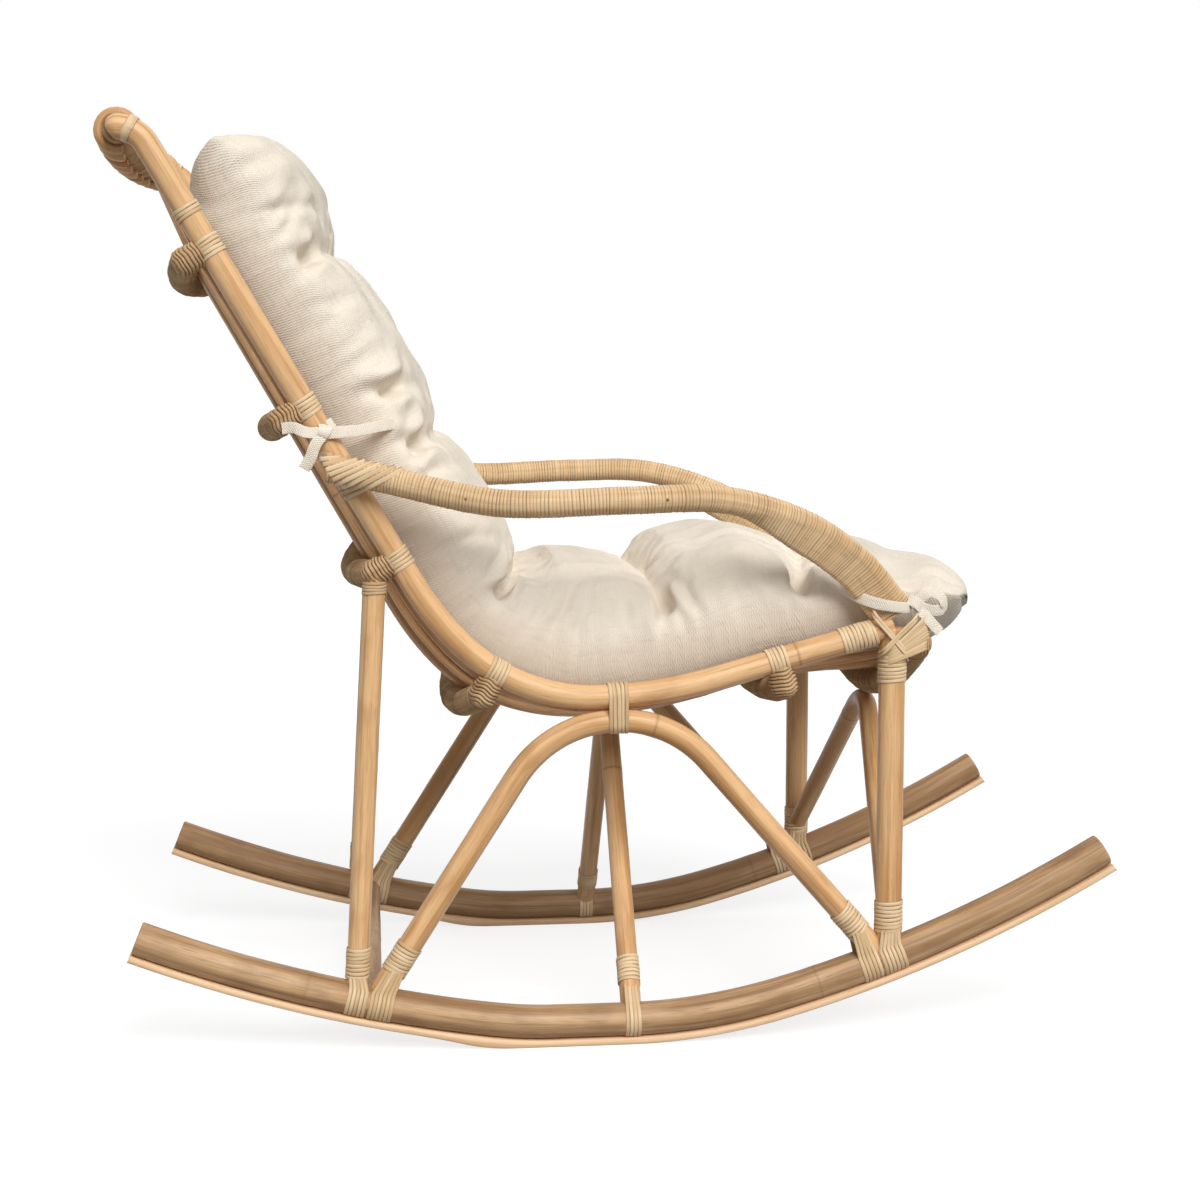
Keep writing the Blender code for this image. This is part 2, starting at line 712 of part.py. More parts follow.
def bed_top(place, y):
    """Point just above the slats, which the cushion lies on."""
    return set_back(place, slat_depth(place, y) - SLAT_DIAMETER / 2 - CUSHION_LIFT)


def bed_point(place, y):
    """Point and heading of the bed that the cushion lies on, which droops past the front rail."""
    held = min(place, FRONT_PLACE)
    point = bed_top(held, y)
    span = bed_top(min(held + BED_SPAN, FRONT_PLACE), y) - bed_top(held - BED_SPAN, y)
    heading = math.atan2(span.y, span.x)
    if place > FRONT_PLACE:
        sweep = -(place - FRONT_PLACE) / CUSHION_DROOP_RADIUS
        x, z, heading = turn_point(point.x, point.y, heading, CUSHION_DROOP_RADIUS, sweep)
        point = Vector((x, z))
    return point, heading


def rounded(distance, radius):
    """Share of full height at a distance in from a rounded edge."""
    inner = 1 - min(1.0, distance / radius)
    return math.sqrt(max(0.0, 1 - inner ** 2))


def cushion_edge_share(place, across):
    """Share of the cushion's thickness left where it is drawn in at its ends and sides."""
    end = min(place - CUSHION_TOP_PLACE, FRONT_PLACE + CUSHION_OVERHANG - place)
    side = (1 - abs(across)) * CUSHION_HALF_WIDTH
    share = rounded(end, CUSHION_END_ROUND) * rounded(side, CUSHION_SIDE_ROUND)
    return CUSHION_EDGE + (1 - CUSHION_EDGE) * share


def blend_share(place, change):
    """Share, from 0 to 1, of the change from one thickness to the next along the cushion."""
    return 1 / (1 + math.exp(-4 * (place - change) / CUSHION_CROWN_BLEND))


def cushion_crown(place, y):
    """Full thickness: the seat is fullest, and the top stays level where the bed rises at the sides."""
    crown = CUSHION_BACK_CROWN
    crown += (CUSHION_SEAT_CROWN - CUSHION_BACK_CROWN) * blend_share(place, CUSHION_CROWN_CHANGE)
    crown += (CUSHION_FRONT_CROWN - CUSHION_SEAT_CROWN) * blend_share(place, CUSHION_FRONT_CHANGE)
    held = min(place, FRONT_PLACE)
    return crown - (slat_depth(held, 0.0) - slat_depth(held, y))


def spread_out(share):
    """Brings evenly spaced rows closer together towards the edges at -1 and 1."""
    return share * (1.3 - 0.3 * share ** 2)


def tuft_pull(place, across):
    """Share of the thickness that tufts, and the creases between them, take off the top."""
    pull = 0.0
    for row in TUFT_PLACES:
        reach = place - row
        pull = max(pull, CREASE_DEPTH * math.exp(-(reach / CREASE_SPREAD) ** 2))
        for column in (-TUFT_COLUMN, TUFT_COLUMN):
            aside = (across - column) * CUSHION_HALF_WIDTH
            pull = max(pull, TUFT_DEPTH * math.exp(-(reach ** 2 + aside ** 2) / TUFT_SPREAD ** 2))
    return pull


def cushion_rows():
    """Places of the cushion's rows of corners, with one on each rail."""
    end = FRONT_PLACE + CUSHION_OVERHANG
    rows = [CUSHION_TOP_PLACE + (end - CUSHION_TOP_PLACE) * (spread_out(2 * row / CUSHION_ROWS - 1) + 1) / 2
            for row in range(CUSHION_ROWS + 1)]
    for rail in [place for _, place, _ in LASHED_RAILS] + [FRONT_PLACE]:
        nearest = min(range(len(rows)), key=lambda row: abs(rows[row] - rail))
        rows[nearest] = rail
    return rows


def cushion(material):
    """One long tufted cushion on the slats."""
    name = "cushion"
    rows = cushion_rows()
    shape = bmesh.new()
    bmesh.ops.create_grid(shape, x_segments=CUSHION_ROWS, y_segments=CUSHION_COLUMNS, size=1.0)
    under = list(shape.verts)
    lifted = bmesh.ops.extrude_face_region(shape, geom=list(shape.faces))
    over = {item for item in lifted["geom"] if isinstance(item, bmesh.types.BMVert)}
    for vert in under + list(over):
        place = rows[round((vert.co.x + 1) / 2 * CUSHION_ROWS)]
        across = spread_out(vert.co.y)
        y = across * CUSHION_HALF_WIDTH
        point, heading = bed_point(place, y)
        share = cushion_edge_share(place, across)
        crown = cushion_crown(place, y)
        height = crown / 2 * (1 - share)
        if vert in over:
            rounding = 1 - CUSHION_CROWN_SHARE * across ** 2
            height += crown * rounding * share * (1 - tuft_pull(place, across))
        vert.co = (point.x - height * math.sin(heading), y, point.y + height * math.cos(heading))
    bmesh.ops.recalc_face_normals(shape, faces=shape.faces)
    mesh = bpy.data.meshes.new(name)
    shape.to_mesh(mesh)
    shape.free()
    mesh.shade_smooth()
    return place_object(bpy.data.objects.new(name, mesh), material)


def pole_frame(low, high, start, sideways=Vector((1.0, 0.0, 0.0))):
    """Frame for a winding that climbs a straight pole from low, after a start."""
    axis = (high - low).normalized()
    return axis_frame(low + axis * start, axis, sideways)


def build_side(label, sign, finish):
    """Poles, rocker, sole and lashings of one side."""
    y = sign * HALF_TRACK
    rocker_line = in_side_plane(rocker_points(ROCKER_LIFT), y)
    tube(f"rocker_{label}", rocker_line, ROCKER_DIAMETER, finish["pole"])
    sole(f"rocker_sole_{label}", y, finish["sole"])
    rocker_seat = cutter(f"rocker_{label}", rocker_line, ROCKER_DIAMETER)

    rear_foot = Vector((REAR_POST_FOOT_X, y, rocker_height(REAR_POST_FOOT_X)))
    rail_at = lashed_rail_centre(LOWER_BACK_RAIL, LOWER_BACK_BOW)
    rear_head = Vector((rail_at(y).x, y, rail_at(y).y))
    rear_line = [rear_foot, rear_head]
    seat(solid_tube(f"rear_post_{label}", rear_line, REAR_POST_DIAMETER, finish["pole"]),
         [rocker_seat, RAIL_SEATS["lower_back_rail"]])
    rear_seat = cutter(f"rear_post_{label}", [rear_foot - Vector((0, 0, ROCKER_DIAMETER)), rear_head],
                       REAR_POST_DIAMETER, margin=wound_margin(REAR_POST_DIAMETER))

    front_foot = Vector((FRONT_POST_X, y, rocker_height(FRONT_POST_X)))
    front_head = Vector((FRONT_POST_X, y, ARM_END_HEIGHT - CLEARANCE))
    front_line = [front_foot, front_head]
    seat(solid_tube(f"front_post_{label}", front_line, FRONT_POST_DIAMETER, finish["pole"]), [rocker_seat])
    below = front_foot - Vector((0, 0, ROCKER_DIAMETER))
    front_seat = cutter(f"front_post_{label}", [below, front_head + Vector((0, 0, ARM_DIAMETER))],
                        FRONT_POST_DIAMETER)
    front_wound_seat = cutter(f"front_post_wound_{label}", [below, front_head], FRONT_POST_DIAMETER,
                              margin=wound_margin(FRONT_POST_DIAMETER))

    pole_line = side_pole_line(y)
    pole = solid_tube(f"side_pole_{label}", pole_line, SIDE_POLE_DIAMETER, finish["pole"])
    seat(pole, [front_seat, RAIL_SEATS["top_rail"]])
    pole_seat = cutter(f"side_pole_{label}", pole_line, SIDE_POLE_DIAMETER)

    arch_line = side_arch_line(y)
    seat(solid_tube(f"side_arch_{label}", arch_line, ARCH_DIAMETER, finish["pole"]),
         [rocker_seat, rear_seat, front_wound_seat])

    arm = arm_line(sign)
    tube(f"arm_{label}", arm, ARM_DIAMETER, finish["wound"])
    seat(solid_tube(f"arm_splice_{label}", splice_line(sign), SPLICE_DIAMETER, finish["wound"]), [pole_seat])

    crown = ROCKER_DIAMETER / 2
    winding(f"rear_post_lashing_{label}", [pole_round(REAR_POST_DIAMETER)], FOOT_LOOPS,
            pole_frame(rear_foot, rear_head, crown + FOOT_START), finish["cane"])
    front_round = [pole_round(FRONT_POST_DIAMETER)]
    slope_lift = FRONT_POST_DIAMETER / 2 * math.tan(ROCKER_FRONT_SWEEP)
    winding(f"front_post_lashing_{label}", front_round, FOOT_LOOPS,
            pole_frame(front_foot, front_head, crown + FOOT_START + slope_lift), finish["cane"])
    band = POST_TOP_LOOPS * CANE_PITCH + CANE_WIDTH
    post_top = FRONT_RAIL_HEIGHT - RAIL_DIAMETER / 2 - POST_TOP_DROP - band
    winding(f"front_corner_lashing_{label}", front_round, POST_TOP_LOOPS,
            axis_frame(Vector((FRONT_POST_X, y, post_top)), Vector((0, 0, 1)), Vector((1, 0, 0))),
            finish["cane"])
    for end, low, high in (("rear", arch_line[0], arch_line[1]), ("front", arch_line[-1], arch_line[-2])):
        winding(f"arch_{end}_lashing_{label}", [pole_round(ARCH_DIAMETER)], FOOT_LOOPS,
                pole_frame(low, high, crown + ARCH_FOOT_START), finish["cane"])
    band = APEX_LOOPS * CANE_PITCH + CANE_WIDTH
    apex = Vector((ARCH_APEX_X - band / 2, y, arch_apex_height()))
    frame = axis_frame(apex, Vector((1, 0, 0)), Vector((0, 1, 0)))
    rounds = sections(frame, band, ((pole_line, SIDE_POLE_DIAMETER), (arch_line, ARCH_DIAMETER)))
    winding(f"arch_top_lashing_{label}", rounds, APEX_LOOPS, frame, finish["cane"])
    arm_strap(label, sign, arm, pole_line, finish)
    cushion_ties(label, sign, arm, finish)
    return rocker_seat, front_wound_seat


def arm_strap(label, sign, arm, pole_line, finish):
    """Lashing round the side pole and the arm's rear end where they cross."""
    lap_x, lap_z, heading = side_point(ARM_REAR_PLACE)
    arm_heading = math.atan2(arm[2].z - arm[0].z, arm[2].x - arm[0].x)
    middle = (heading + arm_heading) / 2
    axis = Vector((math.cos(middle), 0.0, math.sin(middle)))
    band = ARM_STRAP_LOOPS * CANE_PITCH + CANE_WIDTH
    start = Vector((lap_x, sign * HALF_TRACK, lap_z)) - axis * band / 2
    frame = axis_frame(start, axis, Vector((0.0, sign, 0.0)))
    rounds = sections(frame, band, ((pole_line, SIDE_POLE_DIAMETER), (arm, ARM_DIAMETER)))
    winding(f"arm_strap_{label}", rounds, ARM_STRAP_LOOPS, frame, finish["cane"])


def cushion_ties(label, sign, arm, finish):
    """Fabric ties that hold the cushion to the side pole and to the arm's front end."""
    x, z, heading = side_point(BACK_TIE_PLACE)
    axis = Vector((math.cos(heading), 0.0, math.sin(heading)))
    winding(f"back_tie_{label}", [pole_round(SIDE_POLE_DIAMETER)], TIE_LOOPS,
            axis_frame(Vector((x, sign * HALF_TRACK, z)), axis, Vector((0.0, sign, 0.0))),
            finish["fabric"], TIE_WIDTH, TIE_THICKNESS, TIE_THICKNESS)
    corner, above = arm[-3], arm[-4]
    axis = (above - corner).normalized()
    inward = axis.cross(Vector((0.0, 1.0, 0.0)))
    apart = (ARM_DIAMETER + SPLICE_DIAMETER) / 2 + CLEARANCE
    rounds = [pole_round(ARM_DIAMETER), pole_round(SPLICE_DIAMETER, apart)]
    winding(f"front_tie_{label}", rounds, TIE_LOOPS,
            axis_frame(corner + axis * FRONT_TIE_RISE, axis, inward),
            finish["fabric"], TIE_WIDTH, TIE_THICKNESS, TIE_THICKNESS)


def build_chair():
    """Builds every piece of the chair."""
    finish = {
        "pole": make_material("rattan_pole", (0.56, 0.34, 0.16), 0.45),
        "wound": make_material("wound_cane", (0.60, 0.39, 0.20), 0.55),
        "cane": make_material("pale_cane", (0.72, 0.52, 0.29), 0.5),
        "sole": make_material("pale_wood", (0.74, 0.50, 0.28), 0.5),
        "fabric": make_material("ivory_cotton", (0.82, 0.76, 0.65), 0.9),
    }
    rails = [(name, lashed_rail_centre(place, bow), side_point(place)[2]) for name, place, bow in LASHED_RAILS]
    rails.append(("top_rail", top_rail_centre, 0.0))
    rails.append(("front_rail", front_rail_centre, 0.0))
    for name, centre, heading in rails:
        line = rail_line(centre)
        tube(name, line, RAIL_DIAMETER, finish["wound"], tilt=-heading)
        RAIL_SEATS[name] = cutter(name, line, RAIL_DIAMETER, tilt=-heading)
    for index, y in enumerate(slat_ys(), 1):
        tube(f"slat_{index}", slat_path(y), SLAT_DIAMETER, finish["pole"], SLAT_DETAIL)
    seats = [build_side(label, sign, finish) for label, sign in SIDES]
    rocker_seats = [pair[0] for pair in seats]
    post_seats = [pair[1] for pair in seats]

    stretcher_z = rocker_height(STRETCHER_X)
    ends = [Vector((STRETCHER_X, sign * HALF_TRACK, stretcher_z)) for _, sign in SIDES]
    seat(solid_tube("rear_stretcher", ends, STRETCHER_DIAMETER, finish["pole"]), rocker_seats)

    foot_z = rocker_height(MIDDLE_ARCH_X)
    apex_z = height_on(slat_path(0.0), MIDDLE_ARCH_X) - SLAT_FLAT - CLEARANCE - CROSS_ARCH_DIAMETER / 2
    line = cross_arch_line(MIDDLE_ARCH_X, foot_z, MIDDLE_ARCH_X, apex_z, MIDDLE_ARCH_RADIUS)
    seat(solid_tube("middle_arch", line, CROSS_ARCH_DIAMETER, finish["pole"]), rocker_seats)
    for label, low, high in (("right", line[0], line[1]), ("left", line[-1], line[-2])):
        winding(f"middle_arch_lashing_{label}", [pole_round(CROSS_ARCH_DIAMETER)], FOOT_LOOPS,
                pole_frame(low, high, ROCKER_DIAMETER / 2 + ARCH_FOOT_START), finish["cane"])

    foot_z = rocker_height(FRONT_POST_X) + ROCKER_DIAMETER / 2 + FRONT_ARCH_FOOT_RISE
    apex_z = front_rail_centre(0.0).y - RAIL_DIAMETER / 2 - CLEARANCE - CROSS_ARCH_DIAMETER / 2
    line = cross_arch_line(FRONT_POST_X, foot_z, FRONT_RAIL_X, apex_z, FRONT_ARCH_RADIUS)
    seat(solid_tube("front_arch", line, CROSS_ARCH_DIAMETER, finish["pole"]), rocker_seats + post_seats)
    cushion(finish["fabric"])


def stand_over_origin():
    """Moves the chair along X so that its outline's middle is over the origin."""
    bpy.context.view_layer.update()
    graph = bpy.context.evaluated_depsgraph_get()
    xs = []
    for obj in COLLECTIONS["parts"].objects:
        piece = obj.evaluated_get(graph)
        xs += [(piece.matrix_world @ vert.co).x for vert in piece.to_mesh().vertices]
        piece.to_mesh_clear()
    ROOT.location.x = -(min(xs) + max(xs)) / 2
    print(f"moved along X by {ROOT.location.x * 1000:.2f} mm")


clear_scene()
COLLECTIONS = make_collections()
ROOT = make_root()
RAIL_SEATS = {}
build_chair()
stand_over_origin()
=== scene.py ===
"""Rattan rocking chair: bent poles, wound arms and rails, cane lashings and a tufted cushion.

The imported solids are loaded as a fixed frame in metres, +Z up, with the chair facing +X and the
sitter's left at +Y. Every piece here follows the same side profile as the solids and stands for one.
"""

import math

import bpy
import numpy as np
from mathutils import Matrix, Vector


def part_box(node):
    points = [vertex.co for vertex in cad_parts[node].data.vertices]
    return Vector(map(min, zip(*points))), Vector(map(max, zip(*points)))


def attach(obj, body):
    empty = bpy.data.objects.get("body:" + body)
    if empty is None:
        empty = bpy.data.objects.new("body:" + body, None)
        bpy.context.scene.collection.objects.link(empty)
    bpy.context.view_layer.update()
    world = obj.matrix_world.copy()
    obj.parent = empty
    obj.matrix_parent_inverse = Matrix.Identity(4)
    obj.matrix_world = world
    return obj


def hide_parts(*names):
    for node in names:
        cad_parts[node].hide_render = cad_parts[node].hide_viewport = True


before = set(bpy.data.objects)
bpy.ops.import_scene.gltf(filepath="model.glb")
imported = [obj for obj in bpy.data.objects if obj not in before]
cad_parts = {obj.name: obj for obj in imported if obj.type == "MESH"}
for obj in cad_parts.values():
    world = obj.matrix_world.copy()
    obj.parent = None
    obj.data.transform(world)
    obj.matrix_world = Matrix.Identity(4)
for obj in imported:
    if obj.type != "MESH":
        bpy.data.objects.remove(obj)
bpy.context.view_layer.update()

bl_info = {
    "name": "Rattan rocking chair",
    "version": (1, 0, 0),
    "blender": (4, 5, 0),
    "location": "View3D > Sidebar > Rattan",
    "description": "Dresses a rattan rocking chair's frame with poles, windings, lashings and a cushion",
    "category": "Object",
}

# Poles, as diameters
ROCKER_DIAMETER = 0.036
SIDE_POLE_DIAMETER = 0.027
ARCH_DIAMETER = 0.026
CROSS_ARCH_DIAMETER = 0.023
REAR_POST_DIAMETER = 0.024
FRONT_POST_DIAMETER = 0.029
STRETCHER_DIAMETER = 0.025
RAIL_DIAMETER = 0.029
SLAT_DIAMETER = 0.010
ARM_DIAMETER = 0.029
SPLICE_DIAMETER = 0.017
CLEARANCE = 0.0003

# Rockers and soles, drawn from the lowest point
TRACK = 0.506
HALF_TRACK = TRACK / 2
REST_FLAT = 0.08
REAR_ROCKER = ((REST_FLAT / 2, 0), (0.48, math.radians(8.0)), (1.64, 0.40 / 1.64))
FRONT_ROCKER = ((REST_FLAT / 2, 0), (0.675, math.radians(15.4)), (1.53, 0.40 / 1.53))
SOLE_WIDTH = 0.024
SOLE_THICKNESS = 0.007
SOLE_GAP = 0.0006
SOLE_PLANED = 0.112
SOLE_PLANED_BACK = 0.163
ROCKER_LIFT = SOLE_THICKNESS + SOLE_GAP + ROCKER_DIAMETER / 2

# Places along the side are counted from the rockers' lowest point, which lies at ORIGIN_X
FRONT_POST_AHEAD = 0.3316
FRONT_RAIL_AHEAD = FRONT_POST_AHEAD + (FRONT_POST_DIAMETER + RAIL_DIAMETER) / 2 + CLEARANCE
RAIL_LOW, RAIL_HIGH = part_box("front_rail")
FRONT_RAIL_X = (RAIL_LOW[0] + RAIL_HIGH[0]) / 2
ORIGIN_X = FRONT_RAIL_X - FRONT_RAIL_AHEAD
FRONT_POST_X = ORIGIN_X + FRONT_POST_AHEAD
REAR_POST_FOOT_X = ORIGIN_X - 0.252
STRETCHER_X = ORIGIN_X - 0.237

# Side poles: seat and back in one bend
SEAT_LOW_X = ORIGIN_X + 0.005
SEAT_LOW_HEIGHT = 0.382
SEAT_RADIUS = 0.50
SEAT_RISE = math.radians(15.5)
HIP_RADIUS = 0.20
HIP_SWEEP = math.radians(45.0)
WAIST_RADIUS = 0.33
BACK_SLOPE = math.radians(59.6)
BACK_STRAIGHT = 0.525
TOP_BEND_RADIUS = 0.035
TOP_BEND_SHARE = 1.3
SEAT_RUNS = ((SEAT_RADIUS, SEAT_RISE), (1.0, 0))
BACK_RUNS = ((HIP_RADIUS, -HIP_SWEEP), (WAIST_RADIUS, HIP_SWEEP - BACK_SLOPE), (BACK_STRAIGHT, 0))
BACK_LENGTH = HIP_RADIUS * HIP_SWEEP + WAIST_RADIUS * (BACK_SLOPE - HIP_SWEEP) + BACK_STRAIGHT

# Rails: name, place along the side pole, bow at mid width
LASHED_RAILS = (
    ("upper_back_rail", -0.646, 0.022),
    ("middle_back_rail", -0.456, 0.025),
    ("lower_back_rail", -0.270, 0.028),
    ("rear_seat_rail", -0.109, 0.044),
    ("middle_seat_rail", 0.204, 0.028),
)
LOWER_BACK_RAIL = LASHED_RAILS[2]
TOP_BOW = 0.012
FRONT_BOW = 0.075
FRONT_RAIL_HEIGHT = 0.436
RAIL_SETBACK = (SIDE_POLE_DIAMETER + RAIL_DIAMETER) / 2 + CLEARANCE
RAIL_END = HALF_TRACK + SIDE_POLE_DIAMETER / 2

# Slats
SLAT_COUNT = 9
SLAT_REACH = HALF_TRACK - SIDE_POLE_DIAMETER / 2 - SLAT_DIAMETER / 2 - 0.008
SLAT_TOP_WRAP = math.radians(265.0)
SLAT_FRONT_WRAP = math.radians(52.0)
WRAP_STEP = math.radians(10.0)

# Arches
ARCH_APEX_X = ORIGIN_X + 0.031
ARCH_RADIUS = 0.13
ARCH_REAR_SLOPE = math.radians(57.5)
ARCH_FRONT_SLOPE = math.radians(49.0)
MIDDLE_ARCH_X = ORIGIN_X + 0.047
MIDDLE_ARCH_RADIUS = 0.04
FRONT_ARCH_RADIUS = 0.05
FRONT_ARCH_FOOT_RISE = 0.02

# Arms
ARM_REAR_PLACE = -0.379
ARM_REAR_REACH = 0.018
ARM_LINE = ((-0.215, 0.618), (-0.10, 0.5946), (0.03, 0.5972), (0.133, 0.5965),
            (0.225, 0.5695), (0.29, 0.5275), (0.325, 0.485))
ARM_BOW = 0.06
ARM_END_HEIGHT = 0.4525
ARM_END_STRAIGHT = 0.004
ARM_END_AHEAD = 0.008
SPLICE_START_X = ORIGIN_X + 0.14
SPLICE_BLEND = 0.11

# Cushion
CUSHION_HALF_WIDTH = HALF_TRACK - 0.017
CUSHION_TOP_PLACE = -0.751
CUSHION_OVERHANG = 0.058
CUSHION_DROOP_RADIUS = 0.12
BED_SPAN = 0.05
CUSHION_CROWNS = (0.158, 0.178, 0.138)
CUSHION_CHANGES = (-0.12, 0.24)
CUSHION_BLEND = 0.025
CUSHION_END_ROUND = 0.075
CUSHION_SIDE_ROUND = 0.065
CUSHION_CROWN_SHARE = 0.14
CUSHION_LIFT = 0.0010
TUFT_PLACES = (-0.590, -0.362, -0.165, 0.100, 0.255)
TUFT_COLUMN = 0.36
BACK_TIE_PLACE = -0.425

SIDES = (("right", -1.0), ("left", 1.0))
FULL_TURN = 2 * math.pi


def length(name, description, default):
    """A length property."""
    return bpy.props.FloatProperty(name=name, description=description, default=default, min=0.0,
                                   precision=5, unit="LENGTH")


def number(name, description, default):
    """A plain number property."""
    return bpy.props.FloatProperty(name=name, description=description, default=default, precision=4)


def colour(name, description, default):
    """A colour property."""
    return bpy.props.FloatVectorProperty(name=name, description=description, default=default, size=3,
                                         min=0.0, max=1.0, subtype="COLOR")


class CaneSizes(bpy.types.PropertyGroup):
    """Sizes of the rattan's surface, its windings and lashings."""

    strip_width: length("Strip width", "Width of a lashing's cane strip", 0.0042)
    strip_thickness: length("Strip thickness", "Thickness of a lashing's cane strip", 0.0011)
    strip_gap: length("Strip gap", "Gap between neighbouring turns of a lashing", 0.0001)
    arm_turn: length("Arm turn", "Width of one turn of the arms' winding", 0.0038)
    rail_turn: length("Rail turn", "Width of one turn of the rails' winding", 0.0042)
    arm_ridge: length("Arm ridge", "Depth of the groove between two turns on the arms", 0.0005)
    rail_ridge: length("Rail ridge", "Depth of the groove between two turns on the rails", 0.0016)
    joint_spacing: length("Joint spacing", "Distance between a pole's joints", 0.56)
    joint_swell: length("Joint swell", "How far a pole swells at a joint", 0.0004)


class CushionSizes(bpy.types.PropertyGroup):
    """Sizes of the cushion's tufts, seam and cloth."""

    tuft_depth: number("Tuft depth", "Share of the thickness that a tuft takes", 0.44)
    tuft_spread: length("Tuft spread", "Reach of a tuft's hollow", 0.070)
    crease_depth: number("Crease depth", "Share of the thickness that a row's crease takes", 0.25)
    crease_spread: length("Crease spread", "Reach of a crease between tufts", 0.085)
    fold_height: length("Fold height", "Height of the folds round tufts and along seams", 0.0095)
    fold_width: length("Fold width", "Width of a fold where it starts", 0.0065)
    seam_height: number("Seam height", "Share of the thickness at which the seam lies", 0.42)
    pull_in: length("Pull in", "How far the sides are drawn in between the corners", 0.006)
    pressure: number("Pressure", "Pressure of the filling", 4.0)
    loose_cloth: number("Loose cloth", "Share of spare cloth that makes wrinkles", 0.03)
    most_move: length("Most move", "Most that filling may move the cloth", 0.012)
    thread: length("Thread", "Pitch of the woven threads", 0.0027)


class FinishColours(bpy.types.PropertyGroup):
    """Colours of the rattan, cane, wood and cotton."""

    pole_light: colour("Pole light", "Light tone of the bare poles", (0.80, 0.50, 0.25))
    pole_dark: colour("Pole dark", "Dark tone of the bare poles", (0.56, 0.285, 0.105))
    pole_streak: colour("Pole streak", "Orange brown streaks of the bare poles", (0.46, 0.21, 0.075))
    rocker_light: colour("Rocker light", "Light tone of the rockers", (0.57, 0.36, 0.19))
    rocker_dark: colour("Rocker dark", "Dark tone of the rockers", (0.33, 0.185, 0.085))
    rocker_streak: colour("Rocker streak", "Grey brown streaks of the rockers", (0.22, 0.115, 0.055))
    wound_light: colour("Winding light", "Light tone of the arms' winding", (0.80, 0.57, 0.33))
    wound_dark: colour("Winding dark", "Dark tone of the arms' winding", (0.60, 0.39, 0.20))
    rail_light: colour("Rail light", "Light tone of the rails' winding", (0.62, 0.42, 0.23))
    rail_dark: colour("Rail dark", "Dark tone of the rails' winding", (0.40, 0.24, 0.115))
    cane_light: colour("Lashing light", "Light tone of the lashings", (0.80, 0.60, 0.37))
    cane_dark: colour("Lashing dark", "Dark tone of the lashings", (0.62, 0.42, 0.22))
    sole_light: colour("Sole light", "Light tone of the soles", (0.86, 0.60, 0.37))
    sole_dark: colour("Sole dark", "Dark tone of the soles", (0.70, 0.44, 0.24))
    # Joint brown is also painted into the grooves of windings and along lashing strips' edges as shade.
    joint: colour("Joint", "Brown of the poles' joints and grooves", (0.17, 0.08, 0.03))
    cotton: colour("Cotton", "Colour of the cushion's cotton", (0.91, 0.825, 0.70))
    cotton_shade: colour("Cotton shade", "Colour of the cotton's thicker threads", (0.74, 0.64, 0.50))
    floor: colour("Floor", "Colour of the floor", (0.30, 0.30, 0.30))


class StageSizes(bpy.types.PropertyGroup):
    """Camera and light."""

    lens: number("Lens", "Focal length in millimetres on a 36 mm sensor", 63.0)
    camera_place: bpy.props.FloatVectorProperty(
        name="Camera place", description="Where the camera stands", size=3, subtype="TRANSLATION",
        default=(-0.2652, -2.4697, 0.7307))
    camera_pitch: bpy.props.FloatProperty(
        name="Camera pitch", description="How far the camera looks down", default=0.1091, subtype="ANGLE")
    camera_yaw: bpy.props.FloatProperty(
        name="Camera yaw", description="How far the camera turns to the chair's front", default=0.1089,
        subtype="ANGLE")
    sky: number("Sky", "Strength of the light from straight above", 0.50)
    key: number("Key", "Strength of the soft light from above", 2.75)


def cane_sizes():
    return bpy.context.scene.rattan_cane


def cushion_sizes():
    return bpy.context.scene.rattan_cushion


def finish_colours():
    return bpy.context.scene.rattan_colours


def turn_point(x, z, heading, radius, sweep):
    """Where an arc that turns left by sweep ends, and its heading there."""
    end = heading + sweep
    side = math.copysign(1.0, sweep) * radius
    return x + side * (math.sin(end) - math.sin(heading)), z + side * (math.cos(heading) - math.cos(end)), end


def run_point(runs, x, z, heading, distance):
    """Point and heading at a distance along straight runs (length, 0) and arcs (radius, sweep)."""
    for size, sweep in runs:
        whole = size * abs(sweep) if sweep else size
        last = (size, sweep) == runs[-1]
        part = distance if last else min(distance, whole)
        if sweep:
            x, z, heading = turn_point(x, z, heading, size, math.copysign(part / size, sweep))
        else:
            x, z = x + part * math.cos(heading), z + part * math.sin(heading)
        distance -= part
        if distance <= 0:
            break
    return x, z, heading


def side_point(place):
    """Side pole's centreline: x, z and its forward heading at a place from its lowest point."""
    if place >= 0:
        return run_point(SEAT_RUNS, SEAT_LOW_X, SEAT_LOW_HEIGHT, 0.0, place)
    x, z, heading = run_point(BACK_RUNS, SEAT_LOW_X, SEAT_LOW_HEIGHT, math.pi, -place)
    return x, z, heading - math.pi


def side_place_at_x(x):
    """Place on the seat part of the side pole that lies at x."""
    bend_x, _, heading = turn_point(SEAT_LOW_X, SEAT_LOW_HEIGHT, 0.0, SEAT_RADIUS, SEAT_RISE)
    if x >= bend_x:
        return SEAT_RADIUS * SEAT_RISE + (x - bend_x) / math.cos(heading)
    return SEAT_RADIUS * math.asin((x - SEAT_LOW_X) / SEAT_RADIUS)


def set_back(place, depth):
    """Point (x, z) at a depth behind or below the side pole's centreline."""
    x, z, heading = side_point(place)
    return np.array((x + depth * math.sin(heading), z - depth * math.cos(heading)))


FRONT_PLACE = side_place_at_x(FRONT_RAIL_X)
POLE_END_PLACE = side_place_at_x(FRONT_POST_X)
TOP_X, TOP_Z, TOP_HEADING = side_point(-BACK_LENGTH)
TOP_RAIL = np.array(turn_point(TOP_X, TOP_Z, TOP_HEADING + math.pi, TOP_BEND_RADIUS, -TOP_HEADING)[:2])
BACK_NORMAL = np.array((-math.sin(BACK_SLOPE), -math.cos(BACK_SLOPE)))


